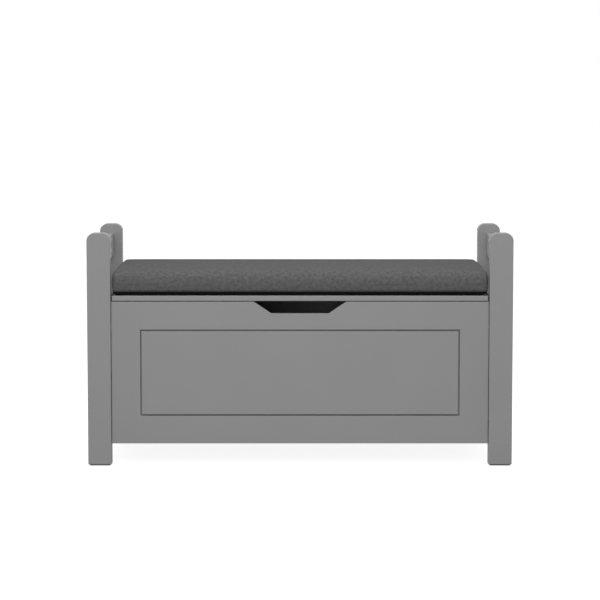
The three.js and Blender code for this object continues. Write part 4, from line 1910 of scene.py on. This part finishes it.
    def fitted(self, shape: np.ndarray) -> np.ndarray:
        """Scales the cushion to its finished limits.

        Args:
            shape: The cover's points.

        Returns:
            The scaled points.
        """
        target = np.array(((-self.half_length, self.front_face, self.low.z),
                           (self.half_length, self.rear_face, self.crown_top)))
        least, most = shape.min(axis=0), shape.max(axis=0)
        return target[0] + (shape - least) / (most - least) * (target[1] - target[0])


def points_of(piece: Piece) -> np.ndarray:
    """Returns a mesh object's points as rows of three numbers."""
    points = np.empty(len(piece.data.vertices) * 3)
    piece.data.vertices.foreach_get("co", points)
    return points.reshape(-1, 3)


# ------------ hinges


@dataclass
class Hinges:
    """The two butt hinges: a leaf on the back panel, a leaf on the lid and a pin in each."""

    screw: WoodScrew
    thickness: float = 0.0012
    half_gap: float = 0.00075
    knuckle_radius: float = 0.0033
    knuckle_length: float = 0.018
    pin_radius: float = 0.0015
    pin_head: float = 0.0026
    pin_head_height: float = 0.0012
    pin_head_bevel: float = 0.0005
    running: float = 0.0004
    screw_spacing: float = 0.036
    corner: float = 0.0015
    edge: float = 0.0003
    tab_overlap: float = 0.002
    mortise_behind: float = 0.01

    def mortise(self, side: str, leaf: str) -> Piece:
        """The recess that a leaf lies in.

        Args:
            side: The side of the bench.
            leaf: "fixed" for the panel's leaf, or "lid".

        Returns:
            The cutter.
        """
        x, y, _ = spans(f"hinge_{leaf}_leaf_{side}")
        level = middle(spans(f"hinge_pin_{side}")[2])
        seat = self.half_gap + self.thickness
        depth = (level - seat - BORE, level) if leaf == "fixed" else (level, level + seat + BORE)
        outline = rectangle(wider(x, BORE), (y[0] - BORE, y[1] + self.mortise_behind))
        return slab("mortise_cutter", outline, Axis.Z, depth)

    def build(self) -> None:
        """Makes both hinges and their screws."""
        for leaf, up, body in (("fixed", -1, "carcass"), ("lid", 1, "lid")):
            places = [place for side in SIDES for place in self.leaf(side, leaf, up, body)]
            hand_over(self.screw.fit(f"hinge_screws_{leaf}", places, ZINC), ZINC, body)
        for side in SIDES:
            self.pin(side)

    def leaf(self, side: str, leaf: str, up: int, body: str) -> Places:
        """Makes a leaf with its knuckles and countersunk holes.

        Args:
            side: The side of the bench.
            leaf: "fixed" or "lid".
            up: 1 for the lid's leaf and -1 for the other.
            body: The body that it rides on.

        Returns:
            The places of its screws.
        """
        node = f"hinge_{leaf}_leaf_{side}"
        _, y, _ = spans(node)
        pin_x, pin_y, pin_z = spans(f"hinge_pin_{side}")
        axis, centre = (middle(pin_y), middle(pin_z)), middle(pin_x)
        inner = axis[1] + up * self.half_gap
        depth = (inner, inner + up * self.thickness)
        fixed_x, _, _ = spans(f"hinge_fixed_leaf_{side}")
        half = (fixed_x[1] - fixed_x[0]) / 2
        between = half - self.knuckle_length
        knuckles = [around(centre, between - self.running)]
        if up < 0:
            knuckles = [(centre - half, centre - between), (centre + between, centre + half)]
        rear = axis[0] - self.knuckle_radius - self.running
        outline = rectangle(around(centre, half), (y[0], rear), self.corner, 0.0)
        plate = slab(f"{node}_plated", outline, Axis.Z, depth, self.edge, steps=3)
        parts = []
        for span in knuckles:
            parts.append(slab("tab", rectangle(span, (rear - self.tab_overlap, axis[0])), Axis.Z, depth))
            parts.append(rod("knuckle", self.knuckle_radius, span, Axis.X, axis, self.edge))
        pin_hole = rod("pin_cutter", self.pin_radius + BORE, wider(around(centre, half), OVERSHOOT), Axis.X,
                       axis, sides=32)
        places = [((centre + step * self.screw_spacing / 2, (y[0] + rear) / 2, inner), (0.0, 0.0, -up))
                  for step in (-1, 1)]
        combine(plate, parts, Work.JOIN)
        combine(plate, [pin_hole, *sunk(self.screw, places, self.thickness + OVERSHOOT)])
        hand_over(shaded(plate), ZINC, body, node)
        return places

    def pin(self, side: str) -> None:
        """Makes a hinge pin with a bevelled head at each end.

        Args:
            side: The side of the bench.
        """
        node = f"hinge_pin_{side}"
        x, y, z = spans(node)
        height, bevel, head = self.pin_head_height, self.pin_head_bevel, self.pin_head
        left, right = ([(0.0, tip), (head - bevel, tip), (head, tip + way * bevel),
                        (head, tip + way * height), (self.pin_radius, tip + way * height)]
                       for tip, way in zip(x, (1, -1)))
        pin = turned(f"{node}_turned", [*left, *reversed(right)], Axis.X, (middle(y), middle(z)), sides=28)
        hand_over(shaded(pin), STEEL, "carcass", node)


# ------------ lid stays


@dataclass
class LidStays:
    """The two folding stays: brackets on the side panel and the lid, and two arms with a rivet."""

    joints: list[dict]
    screw: WoodScrew
    arm_radius: float = 0.006
    hole_radius: float = 0.0033
    pressed_half: float = 0.0019
    pressed_depth: float = 0.0004
    pressed_from_end: float = 0.14
    rivet_radius: float = 0.003
    head_radius: float = 0.005
    head_height: float = 0.0015
    head_rim_share: float = 0.35
    head_step: int = 15
    tail_height: float = 0.0012
    plate: float = 0.0016
    plate_corner: float = 0.006
    tab_half: float = 0.008
    tab_corner: float = 0.0078
    flange: float = 0.020
    flange_corner: float = 0.002
    screw_inset: float = 0.0075
    edge: float = 0.0003

    def build(self) -> None:
        """Makes both stays and the screws of their brackets."""
        pivots = {joint["name"]: tuple(joint["pos_m"][1:]) for joint in self.joints}
        hinge = pivots["lid_hinge"]
        wall_places, lid_places = [], []
        for side in SIDES:
            foot, head = pivots[f"stay_lower_pivot_{side}"], pivots[f"stay_upper_pivot_{side}"]
            elbow = (foot[0] + head[0] - hinge[0], foot[1] + head[1] - hinge[1])
            self.arm(side, "lower", foot, elbow)
            self.arm(side, "upper", head, elbow)
            self.elbow_rivet(side, elbow)
            wall_places += self.side_bracket(side, foot)
            lid_places += self.lid_bracket(side, head)
        hand_over(self.screw.fit("stay_screws_side", wall_places, ZINC), ZINC, "carcass")
        hand_over(self.screw.fit("stay_screws_lid", lid_places, ZINC), ZINC, "lid")

    def arm(self, side: str, level: str, pivot: Point, elbow: Point) -> None:
        """Makes an arm with a hole at each end and a pressed groove between them.

        Args:
            side: The side of the bench.
            level: "lower" or "upper".
            pivot: The (y, z) of its pivot.
            elbow: The (y, z) of the elbow.
        """
        node = f"stay_{level}_arm_{side}"
        x, _, _ = spans(node)
        holes = [circle(place, self.hole_radius) for place in (pivot, elbow)]
        outline = stadium(pivot, elbow, self.arm_radius, steps=20)
        bar = slab(f"{node}_pressed", outline, Axis.X, x, self.edge, steps=3, holes=holes)
        start, end = (lerp(pivot, elbow, t) for t in (self.pressed_from_end, 1 - self.pressed_from_end))
        inner = outer(x, -SIDES[side])
        depth = ordered(inner + SIDES[side] * self.pressed_depth, inner - SIDES[side] * OVERSHOOT)
        pressed = stadium(start, end, self.pressed_half, steps=10)
        combine(bar, [slab("groove_cutter", pressed, Axis.X, depth)])
        hand_over(shaded(bar), ZINC, f"stay_{level}_{side}", node)

    def dome(self, base: float, way: int, height: float) -> list[Point]:
        """The profile of a domed head.

        Args:
            base: Where the head starts.
            way: 1 if it rises along the axis, and -1 if it falls.
            height: The head's height.

        Returns:
            The points from its rim to its middle.
        """
        rim = height * self.head_rim_share
        rise = [(self.head_radius * math.cos(t), base + way * (rim + (height - rim) * math.sin(t)))
                for t in (math.radians(a) for a in range(0, 90, self.head_step))]
        return [*rise, (0.0, base + way * height)]

    def stud(self, side: str, pivot: Point, root: float, face: float) -> Piece:
        """A pivot stud with a domed head.

        Args:
            side: The side of the bench.
            pivot: Its (y, z).
            root: How far from the bench's middle it starts, inside its plate.
            face: How far from the bench's middle the arm's far face is.

        Returns:
            The object.
        """
        start = face - BORE
        profile = [(0.0, root), (self.rivet_radius, root), (self.rivet_radius, start),
                   (self.head_radius, start), *self.dome(start, -1, self.head_height)]
        return turned("stud", sided(profile, side), Axis.X, pivot, sides=36)

    def elbow_rivet(self, side: str, elbow: Point) -> None:
        """Makes the rivet that joins a stay's two arms.

        Args:
            side: The side of the bench.
            elbow: Its (y, z).
        """
        node = f"stay_elbow_rivet_{side}"
        near, far = reach(node)
        start, end = near + self.head_height, far - self.tail_height
        profile = [*reversed(self.dome(start, -1, self.head_height)), (self.head_radius, start),
                   (self.rivet_radius, start), (self.rivet_radius, end), (self.head_radius, end),
                   *self.dome(end, 1, self.tail_height)]
        rivet = turned(f"{node}_turned", sided(profile, side), Axis.X, elbow, sides=36)
        hand_over(shaded(rivet), STEEL, f"stay_lower_{side}", node)

    def rows(self, span: Span) -> Span:
        """Returns where a bracket's two rows of screws are, between its limits."""
        return wider(span, -self.screw_inset)

    def side_bracket(self, side: str, pivot: Point) -> Places:
        """Makes the bracket on a side panel.

        Args:
            side: The side of the bench.
            pivot: The (y, z) of its stud.

        Returns:
            The places of its screws.
        """
        node = f"stay_side_bracket_{side}"
        _, y, z = spans(node)
        far = reach(node)[1]
        face = SIDES[side] * (far - self.plate)
        bracket = slab(f"{node}_plated", rectangle(y, z, self.plate_corner), Axis.X,
                       ordered(face, SIDES[side] * far), self.edge, steps=3)
        arm_face = reach(f"stay_lower_arm_{side}")[0]
        combine(bracket, [self.stud(side, pivot, far - self.plate / 2, arm_face)], Work.JOIN)
        places = [((face, *at), (-SIDES[side], 0.0, 0.0)) for at in product(self.rows(y), self.rows(z))]
        combine(bracket, sunk(self.screw, places, self.plate + OVERSHOOT))
        hand_over(shaded(bracket), ZINC, "carcass", node)
        return places

    def lid_bracket(self, side: str, pivot: Point) -> Places:
        """Makes the angle bracket under the lid.

        Args:
            side: The side of the bench.
            pivot: The (y, z) of its stud.

        Returns:
            The places of its screws.
        """
        node = f"stay_lid_bracket_{side}"
        _, y, z = spans(node)
        far = reach(node)[1]
        near = reach(f"stay_lower_arm_{side}")[0]
        outline = rectangle(around(pivot[0], self.tab_half), (pivot[1] - self.tab_half, z[1]),
                            self.tab_corner, 0.0)
        tab = slab(f"{node}_plated", outline, Axis.X, ordered(SIDES[side] * near, SIDES[side] * far),
                   self.edge, steps=3)
        across = ordered(SIDES[side] * (far - self.flange), SIDES[side] * far)
        under = z[1] - self.plate
        flange = slab("flange", rectangle(across, y, self.flange_corner), Axis.Z, (under, z[1]), self.edge,
                      steps=3)
        stud = self.stud(side, pivot, (near + far) / 2, reach(f"stay_upper_arm_{side}")[0])
        combine(tab, [flange, stud], Work.JOIN)
        x = SIDES[side] * (far - self.flange / 2)
        places = [((x, row, under), (0.0, 0.0, -1.0)) for row in self.rows(y)]
        combine(tab, sunk(self.screw, places, self.plate + OVERSHOOT))
        hand_over(shaded(tab), ZINC, "lid", node)
        return places


# ------------ studio


@dataclass
class Lamp:
    """A flat soft lamp. A fill lamp gives no gloss and leaves the floor out."""

    name: str
    place: Triple
    power: float
    size: Point = (2.0, 2.0)
    fill: bool = False
    aim: Triple = (0.0, -0.1, 0.3)

    def build(self) -> None:
        """Hangs the lamp."""
        data = bpy.data.lights.new(self.name, "AREA")
        data.energy = self.power
        data.shape = "RECTANGLE"
        data.size, data.size_y = self.size
        made = linked(self.name, data)
        made.location = self.place
        made.visible_camera = False
        if self.fill:
            made.visible_glossy = False
            passed = bpy.data.collections.new(f"{self.name}_passes")
            passed.objects.link(bpy.data.objects["studio_floor"])
            passed.collection_objects[0].light_linking.link_state = "EXCLUDE"
            made.light_linking.receiver_collection = passed
        way = Vector(self.aim) - Vector(self.place)
        made.rotation_euler = way.to_track_quat("-Z", "Y").to_euler()


@dataclass
class Studio:
    """The pale floor, the soft light and the camera."""

    camera_place: Triple = (0.0, -5.5, 0.891)
    camera_pitch: float = 5.365
    lens: float = 136.2
    sensor: float = 36.0
    floor_half: float = 12.0
    floor_seen: float = 0.89
    floor_shade: float = 0.4
    floor_bounce: float = 0.3
    sky: float = 0.44
    fill_size: ClassVar[Point] = (1.6, 0.45)
    lamps: tuple[Lamp, ...] = (
        Lamp("front_lamp", (0.0, -4.2, 2.2), 21.0),
        Lamp("high_front_lamp", (0.0, -2.2, 2.4), 20.0),
        Lamp("left_front_lamp", (-0.6, -4.3, 1.2), 45.0),
        Lamp("left_lamp", (-3.2, 0.1, 0.25), 32.0, fill_size, fill=True),
        Lamp("right_lamp", (3.2, 0.1, 0.25), 32.0, fill_size, fill=True),
        Lamp("back_lamp", (0.0, 2.8, 0.25), 38.0, fill_size, fill=True),
        Lamp("top_lamp", (0.0, -0.3, 3.4), 43.0),
    )

    def build(self) -> None:
        """Sets up the studio."""
        bpy.context.scene.view_settings.view_transform = "Standard"
        self.camera()
        self.floor()
        self.world()
        for lamp in self.lamps:
            lamp.build()

    def camera(self) -> None:
        """Places the camera."""
        data = bpy.data.cameras.new("camera")
        data.lens = self.lens
        data.sensor_width = self.sensor
        made = linked("camera", data)
        made.location = self.camera_place
        made.rotation_euler = (math.radians(90 - self.camera_pitch), 0.0, 0.0)
        bpy.context.scene.camera = made

    @staticmethod
    def seen(graph: Graph) -> Socket:
        """Returns the socket that is 1 for camera, glossy and transmission rays."""
        camera, gloss, passing = (graph.add("ShaderNodeLightPath").outputs[f"Is {kind} Ray"]
                                  for kind in ("Camera", "Glossy", "Transmission"))
        return graph.math("MAXIMUM", camera, graph.math("MAXIMUM", gloss, passing))

    def floor(self) -> None:
        """Lays the floor, which shows white where no shadow falls on it."""
        across = (-self.floor_half, self.floor_half)
        corners = [(x, y, 0.0) for x, y in rectangle(across, across)]
        made = piece_of("studio_floor", corners, [range(4)])
        material = bpy.data.materials.new("pale_floor")
        material.use_nodes = True
        graph = Graph(material.node_tree)
        graph.tree.nodes.clear()
        matt, shade = (graph.add("ShaderNodeBsdfDiffuse", {"Color": (grey, grey, grey, 1.0)}).outputs[0]
                       for grey in (self.floor_bounce, self.floor_shade))
        glow = graph.add("ShaderNodeEmission", {"Color": WHITE, "Strength": self.floor_seen})
        bright = graph.add("ShaderNodeAddShader", {0: shade, 1: glow.outputs[0]}).outputs[0]
        either = graph.add("ShaderNodeMixShader", {0: self.seen(graph), 1: matt, 2: bright}).outputs[0]
        graph.add("ShaderNodeOutputMaterial", {0: either})
        made.data.materials.append(material)

    def world(self) -> None:
        """Makes a dim even sky that shows white."""
        world = bpy.data.worlds.new("studio")
        bpy.context.scene.world = world
        world.use_nodes = True
        graph = Graph(world.node_tree)
        graph.tree.nodes.clear()
        dim, full = (graph.add("ShaderNodeBackground", {"Color": WHITE, "Strength": strength}).outputs[0]
                     for strength in (self.sky, 1.0))
        either = graph.add("ShaderNodeMixShader", {0: self.seen(graph), 1: dim, 2: full}).outputs[0]
        graph.add("ShaderNodeOutputWorld", {0: either})


def main() -> None:
    """Loads the frame and builds the bench and its studio."""
    logging.basicConfig(level=logging.INFO, format="%(name)s: %(message)s")
    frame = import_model()
    Studio().build()
    screw, frames = WoodScrew(), EndFrames()
    hinges = Hinges(screw)
    assemblies = (frames, Chest(frames, hinges, screw), Connectors(), Lid(hinges), Cushion(), hinges,
                  LidStays(frame["joints"], screw))
    for assembly in assemblies:
        assembly.build()
    for name, node in frame["nodes"].items():
        if not node.hide_render:
            LOG.warning("%s is shown as it was packed", name)


if __name__ == "__main__":
    main()
